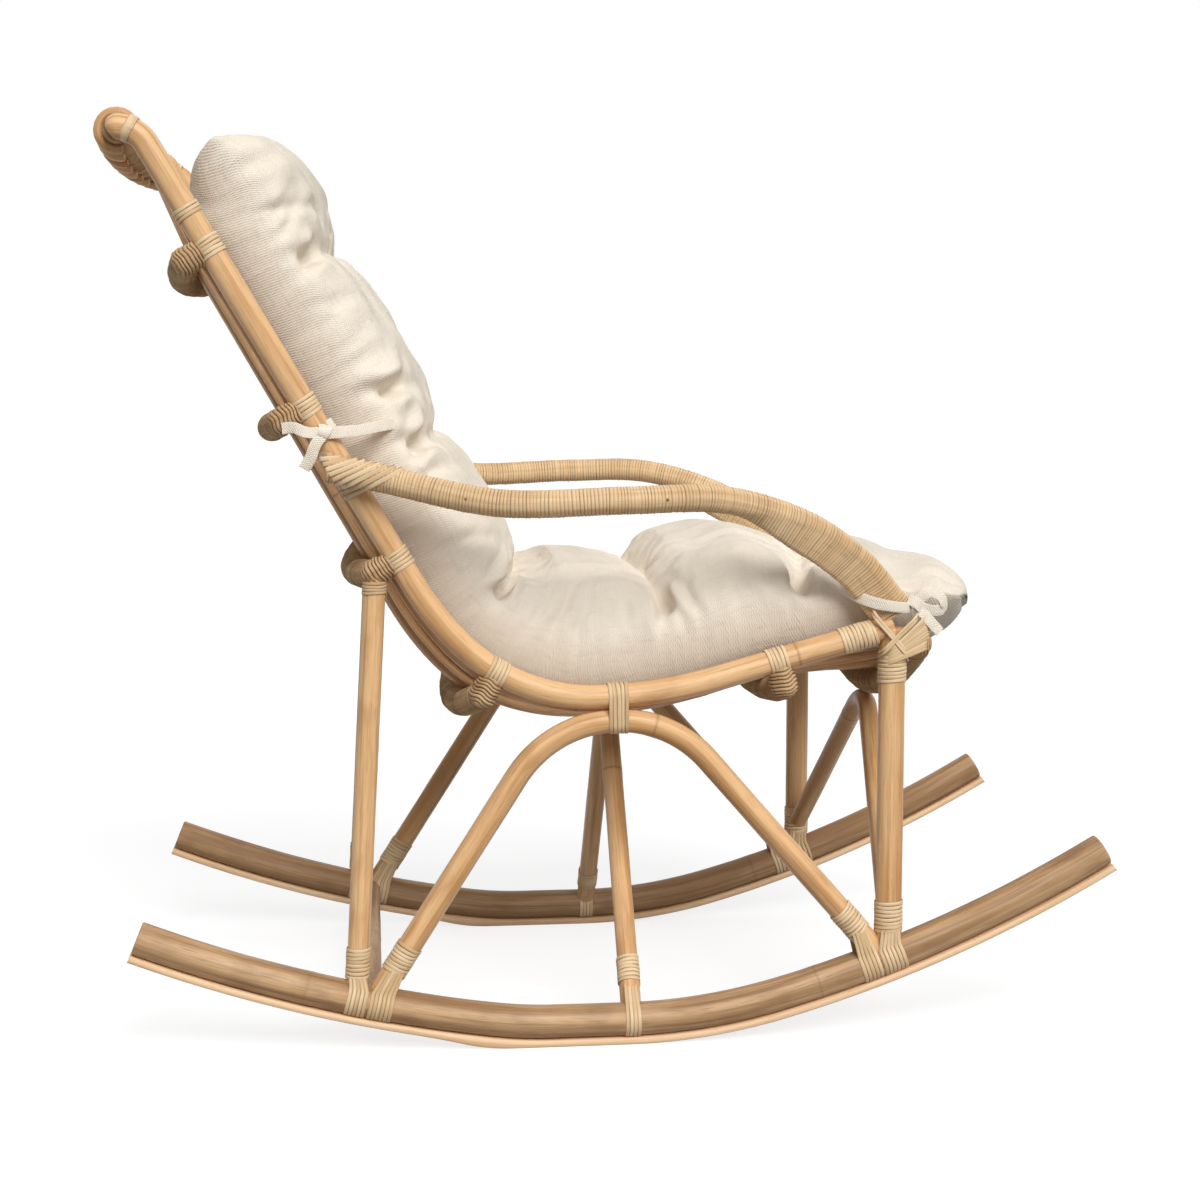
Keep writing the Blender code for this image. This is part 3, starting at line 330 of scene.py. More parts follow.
def bow_share(y):
    """Share of a rail's bow at y: none at the side poles, all at mid width."""
    return max(0.0, 1.0 - (y / HALF_TRACK) ** 2)


def top_rail_centre(y):
    return TOP_RAIL + TOP_BOW * bow_share(y) * BACK_NORMAL


def front_rail_centre(y):
    return np.array((FRONT_RAIL_X, FRONT_RAIL_HEIGHT - FRONT_BOW * bow_share(y)))


def lashed_rail_centre(place, bow):
    return lambda y: set_back(place, RAIL_SETBACK + bow * bow_share(y))


def depth_behind_pole(place, point):
    """How far a point lies behind the side pole's line at a place."""
    x, z, heading = side_point(place)
    return (point[0] - x) * math.sin(heading) - (point[1] - z) * math.cos(heading)


def slat_setback(bow, y):
    """Distance from a rail's centre to a slat's that lies across it, where the bow slopes."""
    slope = math.atan(2 * bow * abs(y) / HALF_TRACK ** 2)
    reach = SLAT_DIAMETER / 2 * math.cos(math.pi / 6 - slope)
    return (RAIL_DIAMETER / 2 + CLEARANCE + reach) / math.cos(slope)


def slat_depth(place, y):
    """Depth of the slats' centres behind the side pole, straight from rail to rail."""
    top = depth_behind_pole(-BACK_LENGTH, top_rail_centre(y)) - slat_setback(TOP_BOW, y)
    front = depth_behind_pole(FRONT_PLACE, front_rail_centre(y)) - slat_setback(FRONT_BOW, y)
    places = [-BACK_LENGTH] + [at for _, at, _ in LASHED_RAILS] + [FRONT_PLACE]
    depths = [RAIL_SETBACK + bow * bow_share(y) - slat_setback(bow, y) for _, _, bow in LASHED_RAILS]
    return float(np.interp(place, places, [top] + depths + [front]))


def wrap_points(entry, centre, turn, sweep, setback):
    """Points of a slat's wrap round a rail, from the line that comes in from entry."""
    to_entry = entry - centre
    lean = math.acos(setback / np.linalg.norm(to_entry))
    start = math.atan2(to_entry[1], to_entry[0]) + turn * lean
    angles = start + turn * np.arange(0.0, sweep, WRAP_STEP)
    return [centre + setback * np.array((math.cos(angle), math.sin(angle))) for angle in angles]


def slat_line(y):
    """A slat from its wrap over the top rail, down the back and seat, to the front rail."""
    places = np.arange(LASHED_RAILS[0][1], LASHED_RAILS[-1][1], 0.012)
    middle = [set_back(place, slat_depth(place, y)) for place in places]
    top = wrap_points(middle[0], top_rail_centre(y), 1.0, SLAT_TOP_WRAP, slat_setback(TOP_BOW, y))
    front = wrap_points(middle[-1], front_rail_centre(y), -1.0, SLAT_FRONT_WRAP, slat_setback(FRONT_BOW, y))
    return in_plane(top[::-1] + middle + front, y)


def in_plane(points, y):
    """Points (x, z) set in the upright plane at y."""
    return np.array([(point[0], y, point[1]) for point in points])


def rocker_line(lift, step=0.004):
    """Points (x, z) at a lift above the soles' curve, from rear tip to front tip."""
    ends = []
    for direction, runs in ((-1.0, REAR_ROCKER), (1.0, FRONT_ROCKER)):
        whole = sum(size * sweep if sweep else size for size, sweep in runs)
        side = []
        for place in np.linspace(0.0, whole, round(whole / step)):
            x, z, heading = run_point(runs, 0.0, 0.0, 0.0, place)
            side.append((ORIGIN_X + direction * (x - lift * math.sin(heading)), z + lift * math.cos(heading)))
        ends.append(side)
    return np.array(ends[0][:0:-1] + ends[1])


ROCKER_CENTRE = rocker_line(ROCKER_LIFT)


def rocker_height(x):
    """Height of the rocker's centreline at x."""
    return float(np.interp(x, ROCKER_CENTRE[:, 0], ROCKER_CENTRE[:, 1]))


def smooth_path(corners, step):
    """Points about a step apart on a smooth curve through rows of numbers, the first three a point."""
    rows = np.asarray(corners, float)
    ends = np.vstack([2 * rows[0] - rows[1], rows, 2 * rows[-1] - rows[-2]])
    points = []
    for before, start, end, after in zip(ends, ends[1:], ends[2:], ends[3:]):
        count = max(1, round(np.linalg.norm((end - start)[:3]) / step))
        out, into = (end - before) / 2, (after - start) / 2
        for t in np.arange(count) / count:
            points.append((2 * t ** 3 - 3 * t ** 2 + 1) * start + (t ** 3 - 2 * t ** 2 + t) * out
                          + (3 * t ** 2 - 2 * t ** 3) * end + (t ** 3 - t ** 2) * into)
    points.append(rows[-1])
    return np.array(points)


def side_pole_line(y):
    """Side pole from the top rail, down the back and along the seat, to the front post."""
    bend = [turn_point(TOP_X, TOP_Z, TOP_HEADING + math.pi, TOP_BEND_RADIUS, -TOP_HEADING * share)[:2]
            for share in np.linspace(TOP_BEND_SHARE, 0.0, 20)[:-1]]
    pole = [side_point(place)[:2] for place in np.linspace(-BACK_LENGTH, POLE_END_PLACE, 340)]
    return in_plane(bend + pole, y)


def leg_foot(start, direction, slope):
    """Where a leg that slopes down from start meets the rocker's centreline."""
    low, high = 0.0, start[1] / math.sin(slope)
    for _ in range(40):
        middle = (low + high) / 2
        x = start[0] + direction * middle * math.cos(slope)
        if start[1] - middle * math.sin(slope) > rocker_height(x):
            low = middle
        else:
            high = middle
    return np.array((start[0] + direction * low * math.cos(slope), start[1] - low * math.sin(slope)))


def arch_apex_height():
    """Height of the side arch's centre, just under the side pole."""
    pole_z = side_point(side_place_at_x(ARCH_APEX_X))[1]
    return pole_z - (SIDE_POLE_DIAMETER + ARCH_DIAMETER) / 2 - CLEARANCE


def side_arch_line(y):
    """Side arch: its top turns under the side pole and its legs run into the rocker."""
    top = arch_apex_height()
    halves = []
    for direction, slope in ((-1.0, ARCH_REAR_SLOPE), (1.0, ARCH_FRONT_SLOPE)):
        half = []
        for share in np.linspace(0.0, 1.0, 24):
            x, drop, _ = turn_point(0.0, 0.0, 0.0, ARCH_RADIUS, max(1e-6, slope * share))
            half.append((ARCH_APEX_X + direction * x, top - drop))
        foot = leg_foot(half[-1], direction, slope)
        half += [tuple(np.array(half[-1]) + (foot - half[-1]) * share) for share in np.linspace(0.0, 1.0, 30)[1:]]
        halves.append(half)
    return in_plane(halves[0][:0:-1] + halves[1], y)


def cross_arch_line(foot_x, foot_z, apex_x, apex_z, radius):
    """An arch across the chair, from foot to foot, with a rounded top."""
    rise = apex_z - foot_z
    slope = math.atan2(rise, HALF_TRACK)
    for _ in range(30):
        slope = math.atan2(rise - radius * (1 - math.cos(slope)), HALF_TRACK - radius * math.sin(slope))
    half = []
    for share in np.linspace(0.0, 1.0, 16):
        y, drop, _ = turn_point(0.0, 0.0, 0.0, radius, max(1e-6, slope * share))
        half.append((apex_x + (foot_x - apex_x) * drop / rise, y, apex_z - drop))
    last, foot = np.array(half[-1]), np.array((foot_x, HALF_TRACK, foot_z))
    half += [tuple(last + (foot - last) * share) for share in np.linspace(0.0, 1.0, 40)[1:]]
    near = [(x, -y, z) for x, y, z in half]
    return np.array(near[:0:-1] + half)


def middle_arch_line():
    """The arch under the middle of the seat."""
    slat = slat_line(0.0)
    seat = slat[slat[:, 2] < SEAT_LOW_HEIGHT + 0.05]
    top = float(np.interp(MIDDLE_ARCH_X, seat[:, 0], seat[:, 2]))
    apex_z = top - SLAT_DIAMETER / 2 - CLEARANCE - CROSS_ARCH_DIAMETER / 2
    return cross_arch_line(MIDDLE_ARCH_X, rocker_height(MIDDLE_ARCH_X), MIDDLE_ARCH_X, apex_z, MIDDLE_ARCH_RADIUS)


def front_arch_line():
    """The arch between the front posts, up to the front rail's middle."""
    foot_z = rocker_height(FRONT_POST_X) + ROCKER_DIAMETER / 2 + FRONT_ARCH_FOOT_RISE
    apex_z = front_rail_centre(0.0)[1] - RAIL_DIAMETER / 2 - CLEARANCE - CROSS_ARCH_DIAMETER / 2
    return cross_arch_line(FRONT_POST_X, foot_z, FRONT_RAIL_X, apex_z, FRONT_ARCH_RADIUS)


def arm_spread(x, rear_x):
    """How far an arm's centre lies outside the side pole's plane at x."""
    lap = (SIDE_POLE_DIAMETER + ARM_DIAMETER) / 2 + CLEARANCE
    share = min(1.0, max(0.0, (x - rear_x) / (FRONT_POST_X - rear_x)))
    return lap * (1 - share) + ARM_BOW * math.sin(math.pi * share) ** 1.5


def arm_line(sign):
    """An arm from its lap on the side pole, forward and down onto the front post."""
    lap_x, lap_z, _ = side_point(ARM_REAR_PLACE)
    corners = [np.array((ORIGIN_X + x, z)) for x, z in ARM_LINE]
    lap = np.array((lap_x, lap_z))
    tail = lap + (lap - corners[0]) / np.linalg.norm(lap - corners[0]) * ARM_REAR_REACH
    pole_top = side_point(POLE_END_PLACE)[1] + SIDE_POLE_DIAMETER / 2
    end = np.array((FRONT_POST_X + ARM_END_AHEAD, max(ARM_END_HEIGHT, pole_top) + ARM_END_STRAIGHT))
    corners[-1][0] += ARM_END_AHEAD / 2
    flat = smooth_path([np.append(p, 0.0) for p in [tail, lap] + corners + [end]], 0.004)
    return np.array([(x, sign * (HALF_TRACK + arm_spread(x, lap_x)), z) for x, z, _ in flat])


def rear_post_line(y):
    """A rear post from the rocker up to the lower back rail."""
    head = lashed_rail_centre(LOWER_BACK_RAIL[1], LOWER_BACK_RAIL[2])(y)
    return np.array(((REAR_POST_FOOT_X, y, rocker_height(REAR_POST_FOOT_X)), (head[0], y, head[1])))


def front_post_line(y):
    """A front post from the rocker up to the arm."""
    return np.array(((FRONT_POST_X, y, rocker_height(FRONT_POST_X)), (FRONT_POST_X, y, ARM_END_HEIGHT)))


def unit(vector):
    return vector / np.linalg.norm(vector)


def reach_along(points):
    """Distance of each point along its line."""
    return np.concatenate([[0.0], np.cumsum(np.linalg.norm(np.diff(points, axis=0), axis=1))])


def at_reach(points, places):
    """Points at distances along a line."""
    reach = reach_along(points)
    return np.stack([np.interp(places, reach, points[:, axis]) for axis in range(3)], axis=1)


def carried_frame(points, out):
    """Tangents, outward and sideways vectors along a line, carried without twist."""
    tangents = np.gradient(points, axis=0)
    tangents /= np.linalg.norm(tangents, axis=1)[:, None]
    outs = np.empty_like(points)
    here = np.asarray(out, float)
    for index, tangent in enumerate(tangents):
        here = unit(here - tangent * here.dot(tangent))
        outs[index] = here
    return tangents, outs, np.cross(tangents, outs)


def wander(values, seed, scale):
    """A smooth random curve of about -1 to 1 over values, with waves of about a scale."""
    rng = np.random.default_rng(seed)
    total = np.zeros_like(np.asarray(values, float))
    for share in (1.0, 0.61, 0.37):
        total += share * np.sin(FULL_TURN * np.asarray(values) / (scale * share) + rng.uniform(0, FULL_TURN))
    return total / 2


def bare_shell(line, diameter, seed, sides=20, step=0.006, dome=0.0018, far_dome=None):
    """A bare pole: nearly round, with joints where it swells a little and darkens."""
    sizes = cane_sizes()
    whole = reach_along(line)[-1]
    rng = np.random.default_rng(seed)
    first = rng.uniform(0.25, 0.9) * sizes.joint_spacing
    joints = np.arange(first, whole - 0.02, sizes.joint_spacing)
    joints = joints + rng.uniform(-0.03, 0.03, len(joints))
    near = np.concatenate([joints + offset for offset in (-0.007, -0.003, -0.0012, 0.0, 0.0012, 0.003, 0.007)])
    edge = dome * np.array((0.0, 0.06, 0.2, 0.45, 0.75, 1.0))
    stations = np.concatenate([np.linspace(0.0, whole, max(6, round(whole / step))), near, edge, whole - edge])
    stations = np.unique(np.round(np.clip(stations, 0.0, whole), 5))
    points = at_reach(line, stations)
    start = (0.0, 1.0, 0.0) if abs(unit(line[-1] - line[0])[1]) < 0.8 else (0.0, 0.0, 1.0)
    _, outs, asides = carried_frame(points, start)
    angles = np.arange(sides) * FULL_TURN / sides
    from_end = np.minimum(stations, whole - stations)
    radius = diameter / 2 * (1 + 0.010 * wander(stations, seed + 1, 0.21))
    domes = np.where(stations < whole / 2, dome, dome if far_dome is None else far_dome)
    inside = 1 - np.clip(from_end / domes, 0.0, 1.0)
    blunt = np.maximum(0.0, diameter / 2 - domes)
    radius *= (blunt + (diameter / 2 - blunt) * np.sqrt(np.maximum(1 - inside ** 2, 0.01))) / (diameter / 2)
    dark = np.zeros_like(stations)
    for joint in joints:
        apart = stations - joint
        radius += sizes.joint_swell * np.exp(-(apart / 0.006) ** 2)
        radius -= 0.8 * sizes.joint_swell * np.exp(-(apart / 0.0012) ** 2)
        dark += rng.uniform(0.2, 0.75) * np.exp(-(apart / 0.0014) ** 2)
    oval = 1 + 0.012 * np.cos(2 * angles + rng.uniform(0, FULL_TURN))
    reach = radius[:, None] * oval[None, :]
    rings = ring_points(points, outs, asides, reach, angles)
    around = diameter / 2 * np.stack([np.cos(angles), np.sin(angles)], axis=1)
    lie = np.concatenate([np.broadcast_to(around, (len(stations), sides, 2)),
                          np.broadcast_to((stations + 3.7 * seed)[:, None, None], (len(stations), sides, 1))], axis=2)
    tone = np.full((len(stations), sides), rng.uniform(0.3, 0.7))
    return dict(rings=rings, reach=stations, around=math.pi * diameter, tone=tone,
                dark=np.broadcast_to(dark[:, None], tone.shape), lie=lie)


def ring_points(points, outs, asides, reach, angles):
    """Rings of points at a reach round a line."""
    return (points[:, None, :] + (reach * np.cos(angles))[..., None] * outs[:, None, :]
            + (reach * np.sin(angles))[..., None] * asides[:, None, :])


# One turn's profile: place across the turn, height of its ridge, and painted shade that darkens the groove between
# turns.
TURN_PARTS = (0.0, 0.10, 0.24, 0.5, 0.76, 0.90)
TURN_HEIGHTS = (-1.0, -0.45, 0.1, 0.25, 0.1, -0.45)
TURN_GROOVE_SHADES = (1.0, 0.55, 0.05, 0.0, 0.05, 0.55)


def turn_stations(whole, turn, seed, faintest_groove_shade):
    """Stations, heights, painted groove shade and tone of the turns of a close winding of some length."""
    rng = np.random.default_rng(seed)
    count = max(2, round(whole / turn))
    widths = rng.uniform(0.82, 1.18, count)
    starts = np.concatenate([[0.0], np.cumsum(widths)]) * whole / widths.sum()
    stations, heights, groove_shades, tones = [], [], [], []
    tone_walk = 0.5 + 0.24 * wander(np.arange(count), seed + 2, 23.0) + rng.normal(0.0, 0.10, count)
    lifts = rng.normal(0.0, 0.25, count)
    # How strong the painted shade is in each groove.
    grooves = rng.uniform(faintest_groove_shade, 1.0, count + 1)
    for index in range(count):
        for part, height, dark in zip(TURN_PARTS, TURN_HEIGHTS, TURN_GROOVE_SHADES):
            stations.append(starts[index] + part * (starts[index + 1] - starts[index]))
            heights.append(height + (lifts[index] if part else 0.0))
            groove_shades.append(dark * grooves[index + (part > 0.5)])
            tones.append(tone_walk[index])
    stations.append(whole)
    heights.append(-1.0)
    groove_shades.append(grooves[-1])
    tones.append(tone_walk[-1])
    return np.array(stations), np.array(heights), np.array(groove_shades), np.clip(tones, 0.0, 1.0)


def outer_reach(line, radius):
    """Distance along the outside of a pole that bends."""
    tangents = np.gradient(line, axis=0)
    tangents /= np.linalg.norm(tangents, axis=1)[:, None]
    turning = np.linalg.norm(np.diff(tangents, axis=0), axis=1)
    return np.concatenate([[0.0], np.cumsum(np.linalg.norm(np.diff(line, axis=0), axis=1) + radius * turning)])


def wound_shell(line, outs_at, turn, ridge, seed, section, sides=24, sway=None, faintest_groove_shade=0.2):
    """A close winding of cane round poles, one ridge a turn."""
    reach = reach_along(line)
    outside = outer_reach(line, RAIL_DIAMETER / 2)
    stations, heights, groove_shades, tones = turn_stations(outside[-1], turn, seed, faintest_groove_shade)
    stations = np.interp(stations, outside, reach)
    whole = reach[-1]
    angles = np.arange(sides) * FULL_TURN / sides
    slide = wander(stations, seed + 5, 0.06)[:, None] * 0.0006 * np.cos(angles + seed)
    if sway is not None:
        slide = slide + sway(angles)[None, :]
    ease = np.clip(np.minimum(stations, whole - stations) / 0.005, 0.0, 1.0)
    spots = np.clip(stations[:, None] + slide * ease[:, None], 0.0, whole)
    middle = at_reach(line, stations)
    outs, asides = outs_at(middle)
    shape = (len(stations), sides)
    rings = np.empty((*shape, 3))
    for column, angle in enumerate(angles):
        away, across = section(spots[:, column], angle, ridge * heights)
        rings[:, column] = at_reach(line, spots[:, column]) + away[:, None] * outs + across[:, None] * asides
    lie = np.stack([np.broadcast_to(np.cos(angles), shape) * 0.0145, np.broadcast_to(np.sin(angles), shape) * 0.0145,
                    np.broadcast_to((stations + 3.7 * seed)[:, None], shape)], axis=2)
    # dark carries the painted shade in the grooves between turns.
    return dict(rings=rings, reach=stations, around=math.pi * RAIL_DIAMETER,
                tone=np.broadcast_to(tones[:, None], shape), dark=np.broadcast_to(groove_shades[:, None], shape), lie=lie)


STRIP_ACROSS = np.array((-1.0, -0.84, -0.4, 0.4, 0.84, 1.0, 0.6, -0.6)) / 2
STRIP_OUT = np.array((-0.25, 0.3, 0.5, 0.5, 0.3, -0.25, -0.5, -0.5))
TAPE_ACROSS = np.array((-1.0, -0.55, 0.0, 0.55, 1.0, 1.0, 0.55, 0.0, -0.55, -1.0)) / 2
TAPE_OUT = np.array((0.1, 0.9, 0.3, 1.0, 0.2, -0.6, 0.2, -0.5, 0.1, -0.7))


def strip_shell(points, outs, seed, width=None, thickness=None, tone=None, across_shape=STRIP_ACROSS,
                out_shape=STRIP_OUT):
    """A flat strip of cane along points, its rounded face turned along outs."""
    width = width or cane_sizes().strip_width
    thickness = thickness or cane_sizes().strip_thickness
    rng = np.random.default_rng(seed)
    tangents = np.gradient(points, axis=0)
    tangents /= np.linalg.norm(tangents, axis=1)[:, None]
    outs = outs - tangents * np.sum(outs * tangents, axis=1)[:, None]
    outs /= np.linalg.norm(outs, axis=1)[:, None]
    asides = np.cross(tangents, outs)
    reach = reach_along(points)
    widths = width * (1 + 0.05 * wander(reach, seed, 0.11))
    across = widths[:, None] * across_shape
    out = np.broadcast_to(thickness * out_shape, across.shape)
    rings = points[:, None, :] + across[..., None] * asides[:, None, :] + out[..., None] * outs[:, None, :]
    lie = np.stack([across, out, np.broadcast_to((reach + 2.3 * seed)[:, None], across.shape)], axis=2)
    tone = rng.uniform(0.1, 0.9) if tone is None else tone
    tones = np.clip(tone + 0.2 * wander(reach, seed + 3, 0.09), 0.0, 1.0)
    # Painted shade along both edges of the strip, where it meets the next turn or strip.
    dark = np.broadcast_to(np.where(np.abs(across_shape) > 0.48, 1.0, 0.0), across.shape)
    return dict(rings=rings, reach=reach, around=2 * width, tone=np.broadcast_to(tones[:, None], across.shape),
                dark=dark, lie=lie)


def roll_grid(name, shell):
    """Rolls a grid into a closed skin through a shell's rings."""
    rings = np.asarray(shell["rings"])
    rows, columns = rings.shape[:2]
    bpy.ops.object.select_all(action="DESELECT")
    bpy.ops.mesh.primitive_grid_add(x_subdivisions=columns, y_subdivisions=rows - 1, size=1.0)
    obj = bpy.context.active_object
    obj.name = name
    mesh = obj.data
    mesh.name = name

    def wrapped(values):
        values = np.asarray(values, float)
        return np.concatenate([values, values[:, :1]], axis=1)

    mesh.vertices.foreach_set("co", wrapped(rings).astype(np.float32).ravel())
    uv = np.empty(2 * len(mesh.loops), np.float32)
    mesh.uv_layers[0].data.foreach_get("uv", uv)
    uv = uv.reshape(-1, 2)
    row = np.clip(np.rint(uv[:, 1] * (rows - 1)).astype(int), 0, rows - 1)
    uv = np.stack([uv[:, 0] * shell["around"], shell["reach"][row]], axis=1).astype(np.float32)
    mesh.uv_layers[0].data.foreach_set("uv", uv.ravel())
    # dark holds real joint marks on bare poles and painted groove shade on windings and strips.
    for key, kind, field in (("tone", "FLOAT", "value"), ("dark", "FLOAT", "value"), ("lie", "FLOAT_VECTOR", "vector")):
        layer = mesh.attributes.new(key, kind, "POINT")
        layer.data.foreach_set(field, wrapped(shell[key]).astype(np.float32).ravel())
    bpy.ops.object.mode_set(mode="EDIT")
    bpy.ops.mesh.select_all(action="SELECT")
    bpy.ops.mesh.remove_doubles(threshold=0.000002)
    bpy.ops.mesh.select_all(action="SELECT")
    bpy.ops.mesh.fill_holes(sides=0)
    bpy.ops.mesh.select_all(action="SELECT")
    bpy.ops.mesh.normals_make_consistent(inside=False)
    bpy.ops.object.mode_set(mode="OBJECT")
    return obj


def make_piece(name, shells, material, nodes=(), smooth=math.radians(50)):
    """One piece from one or more rolled skins, riding on the chair and standing for CAD nodes."""
    rolled = [roll_grid(name, shell) for shell in shells]
    bpy.ops.object.select_all(action="DESELECT")
    for obj in rolled:
        obj.select_set(True)
    piece = rolled[0]
    bpy.context.view_layer.objects.active = piece
    if len(rolled) > 1:
        bpy.ops.object.join()
    piece.name = name
    bpy.ops.object.shade_smooth_by_angle(angle=smooth)
    piece.data.materials.clear()
    piece.data.materials.append(material)
    dress(piece, nodes)
    return piece


def dress(piece, nodes):
    """Fastens a piece to the chair and hides the CAD parts it stands for."""
    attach(piece, "root")
    if nodes:
        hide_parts(*nodes)


def node(tree, kind, inputs=None, **settings):
    """Adds a shader node; its inputs are values or sockets to link from."""
    made = tree.nodes.new(kind)
    for key, value in settings.items():
        setattr(made, key, value)
    for key, value in (inputs or {}).items():
        if isinstance(value, bpy.types.NodeSocket):
            tree.links.new(value, made.inputs[key])
        else:
            made.inputs[key].default_value = value
    return made


def maths(tree, operation, first, second=0.0):
    return node(tree, "ShaderNodeMath", {0: first, 1: second}, operation=operation).outputs[0]


def blend_colours(tree, share, first, second, kind="MIX"):
    made = node(tree, "ShaderNodeMix", data_type="RGBA", blend_type=kind)
    for socket, value in ((made.inputs[0], share), (made.inputs[6], first), (made.inputs[7], second)):
        if isinstance(value, bpy.types.NodeSocket):
            tree.links.new(value, socket)
        else:
            socket.default_value = value
    return made.outputs[2]


def spread(tree, value, low, high, to_low=0.0, to_high=1.0):
    """Maps a value from one span to another."""
    return node(tree, "ShaderNodeMapRange", {"Value": value, "From Min": low, "From Max": high,
                                             "To Min": to_low, "To Max": to_high}).outputs[0]


def noise(tree, vector, scale, detail=3.0, size=1.0):
    """Noise along a vector that is first stretched by a scale on each axis."""
    stretched = node(tree, "ShaderNodeMapping", {"Vector": vector, "Scale": scale}).outputs[0]
    return node(tree, "ShaderNodeTexNoise", {"Vector": stretched, "Scale": size, "Detail": detail}).outputs["Fac"]


def attribute(tree, name, output):
    return node(tree, "ShaderNodeAttribute", attribute_name=name).outputs[output]


def opaque(rgb):
    return (*rgb, 1.0)


def new_material(name):
    """A new material, its tree and its Principled shader."""
    material = bpy.data.materials.new(name)
    material.use_nodes = True
    tree = material.node_tree
    return material, tree, tree.nodes["Principled BSDF"]


GRAIN_BROAD = (75.0, 75.0, 2.2)
GRAIN_STREAK = (190.0, 190.0, 4.5)
GRAIN_FINE = (520.0, 520.0, 12.0)
GRAIN_HAIR = (1300.0, 1300.0, 42.0)
GRAIN_PATCH = (14.0, 14.0, 5.0)
GRAIN_BLOTCH = (45.0, 45.0, 16.0)


def cane_material(name, light, dark, streak, roughness, groove=0.85, tone_share=0.5, hair=0.5, stain=0.0):
    """Rattan or cane: lengthwise grain in three tones, patches, brown joints, painted shade in the grooves of windings
    and along strips' edges, a soft sheen.
    """
    material, tree, shader = new_material(name)
    lie = attribute(tree, "lie", "Vector")
    broad = noise(tree, lie, GRAIN_BROAD, 4.0)
    bands = noise(tree, lie, GRAIN_STREAK, 3.0)
    fine = noise(tree, lie, GRAIN_FINE, 3.0)
    hairs = noise(tree, lie, GRAIN_HAIR, 2.0)
    patch = noise(tree, lie, GRAIN_PATCH, 3.0)
    shade = maths(tree, "ADD", spread(tree, broad, 0.40, 0.62), spread(tree, patch, 0.35, 0.68, -0.3, 0.3))
    shade = maths(tree, "ADD", shade, spread(tree, fine, 0.35, 0.7, -0.2, 0.2))
    tone = spread(tree, attribute(tree, "tone", "Fac"), 0.0, 1.0, -tone_share, tone_share)
    shade = node(tree, "ShaderNodeClamp", {"Value": maths(tree, "ADD", shade, tone)}).outputs[0]
    base = blend_colours(tree, shade, opaque(light), opaque(dark))
    base = blend_colours(tree, spread(tree, bands, 0.53, 0.72, 0.0, 0.75), base, opaque(streak))
    blotch = noise(tree, lie, GRAIN_BLOTCH, 2.0)
    base = blend_colours(tree, spread(tree, blotch, 0.54, 0.72, 0.0, stain), base, opaque(streak))
    brown = opaque(finish_colours().joint)
    base = blend_colours(tree, spread(tree, hairs, 0.58, 0.78, 0.0, hair), base, brown)
    # Brown where dark says: real joints on bare poles, painted shade in the grooves of windings and strips; groove sets
    # how strong.
    depth = maths(tree, "MULTIPLY", attribute(tree, "dark", "Fac"), groove)
    base = blend_colours(tree, depth, base, brown)
    tree.links.new(base, shader.inputs["Base Color"])
    gloss = spread(tree, patch, 0.3, 0.7, roughness - 0.08, roughness + 0.10)
    tree.links.new(gloss, shader.inputs["Roughness"])
    height = maths(tree, "SUBTRACT", fine, maths(tree, "MULTIPLY", hairs, 0.7))
    bump = node(tree, "ShaderNodeBump", {"Strength": 0.4, "Distance": 0.0005, "Height": height})
    tree.links.new(bump.outputs[0], shader.inputs["Normal"])
    shader.inputs["Specular IOR Level"].default_value = 0.3
    return material


CREASE_SCALE = (20.0, 20.0, 1.0)


def cotton_material():
    """Ivory cotton: a plain weave with thicker threads and a faint sheen."""
    colours = finish_colours()
    pitch = cushion_sizes().thread
    material, tree, shader = new_material("ivory_cotton_weave")
    cloth = node(tree, "ShaderNodeUVMap", uv_map="UVMap").outputs[0]
    parts = node(tree, "ShaderNodeSeparateXYZ", {"Vector": cloth})
    waver = noise(tree, cloth, (60.0, 60.0, 1.0), 2.0)
    waver = spread(tree, waver, 0.0, 1.0, -pitch, pitch)
    threads = []
    for axis in ("X", "Y"):
        turned = maths(tree, "MULTIPLY", maths(tree, "ADD", parts.outputs[axis], waver), FULL_TURN / pitch)
        threads.append(maths(tree, "SINE", turned))
    weave = maths(tree, "MULTIPLY", threads[0], threads[1])
    slubs = maths(tree, "MAXIMUM", noise(tree, cloth, (30.0, 700.0, 1.0), 2.0),
                  noise(tree, cloth, (700.0, 30.0, 1.0), 2.0))
    shade = maths(tree, "ADD", spread(tree, slubs, 0.52, 0.8, 0.0, 0.55), spread(tree, weave, -1.0, 1.0, 0.20, 0.0))
    patch = noise(tree, cloth, (7.0, 7.0, 1.0), 3.0)
    shade = maths(tree, "ADD", shade, spread(tree, patch, 0.35, 0.7, 0.0, 0.12))
    base = blend_colours(tree, shade, opaque(colours.cotton), opaque(colours.cotton_shade))
    tree.links.new(base, shader.inputs["Base Color"])
    height = maths(tree, "ADD", weave, maths(tree, "MULTIPLY", slubs, 3.0))
    creases = maths(tree, "ABSOLUTE", maths(tree, "SUBTRACT", noise(tree, cloth, CREASE_SCALE, 2.0), 0.5))
    rumple = node(tree, "ShaderNodeBump", {"Strength": 0.5, "Distance": 0.012, "Height": creases})
    bump = node(tree, "ShaderNodeBump", {"Strength": 0.5, "Distance": 0.0006, "Height": height,
                                         "Normal": rumple.outputs[0]})
    tree.links.new(bump.outputs[0], shader.inputs["Normal"])
    shader.inputs["Roughness"].default_value = 0.92
    shader.inputs["Sheen Weight"].default_value = 0.12
    shader.inputs["Specular IOR Level"].default_value = 0.15
    return material
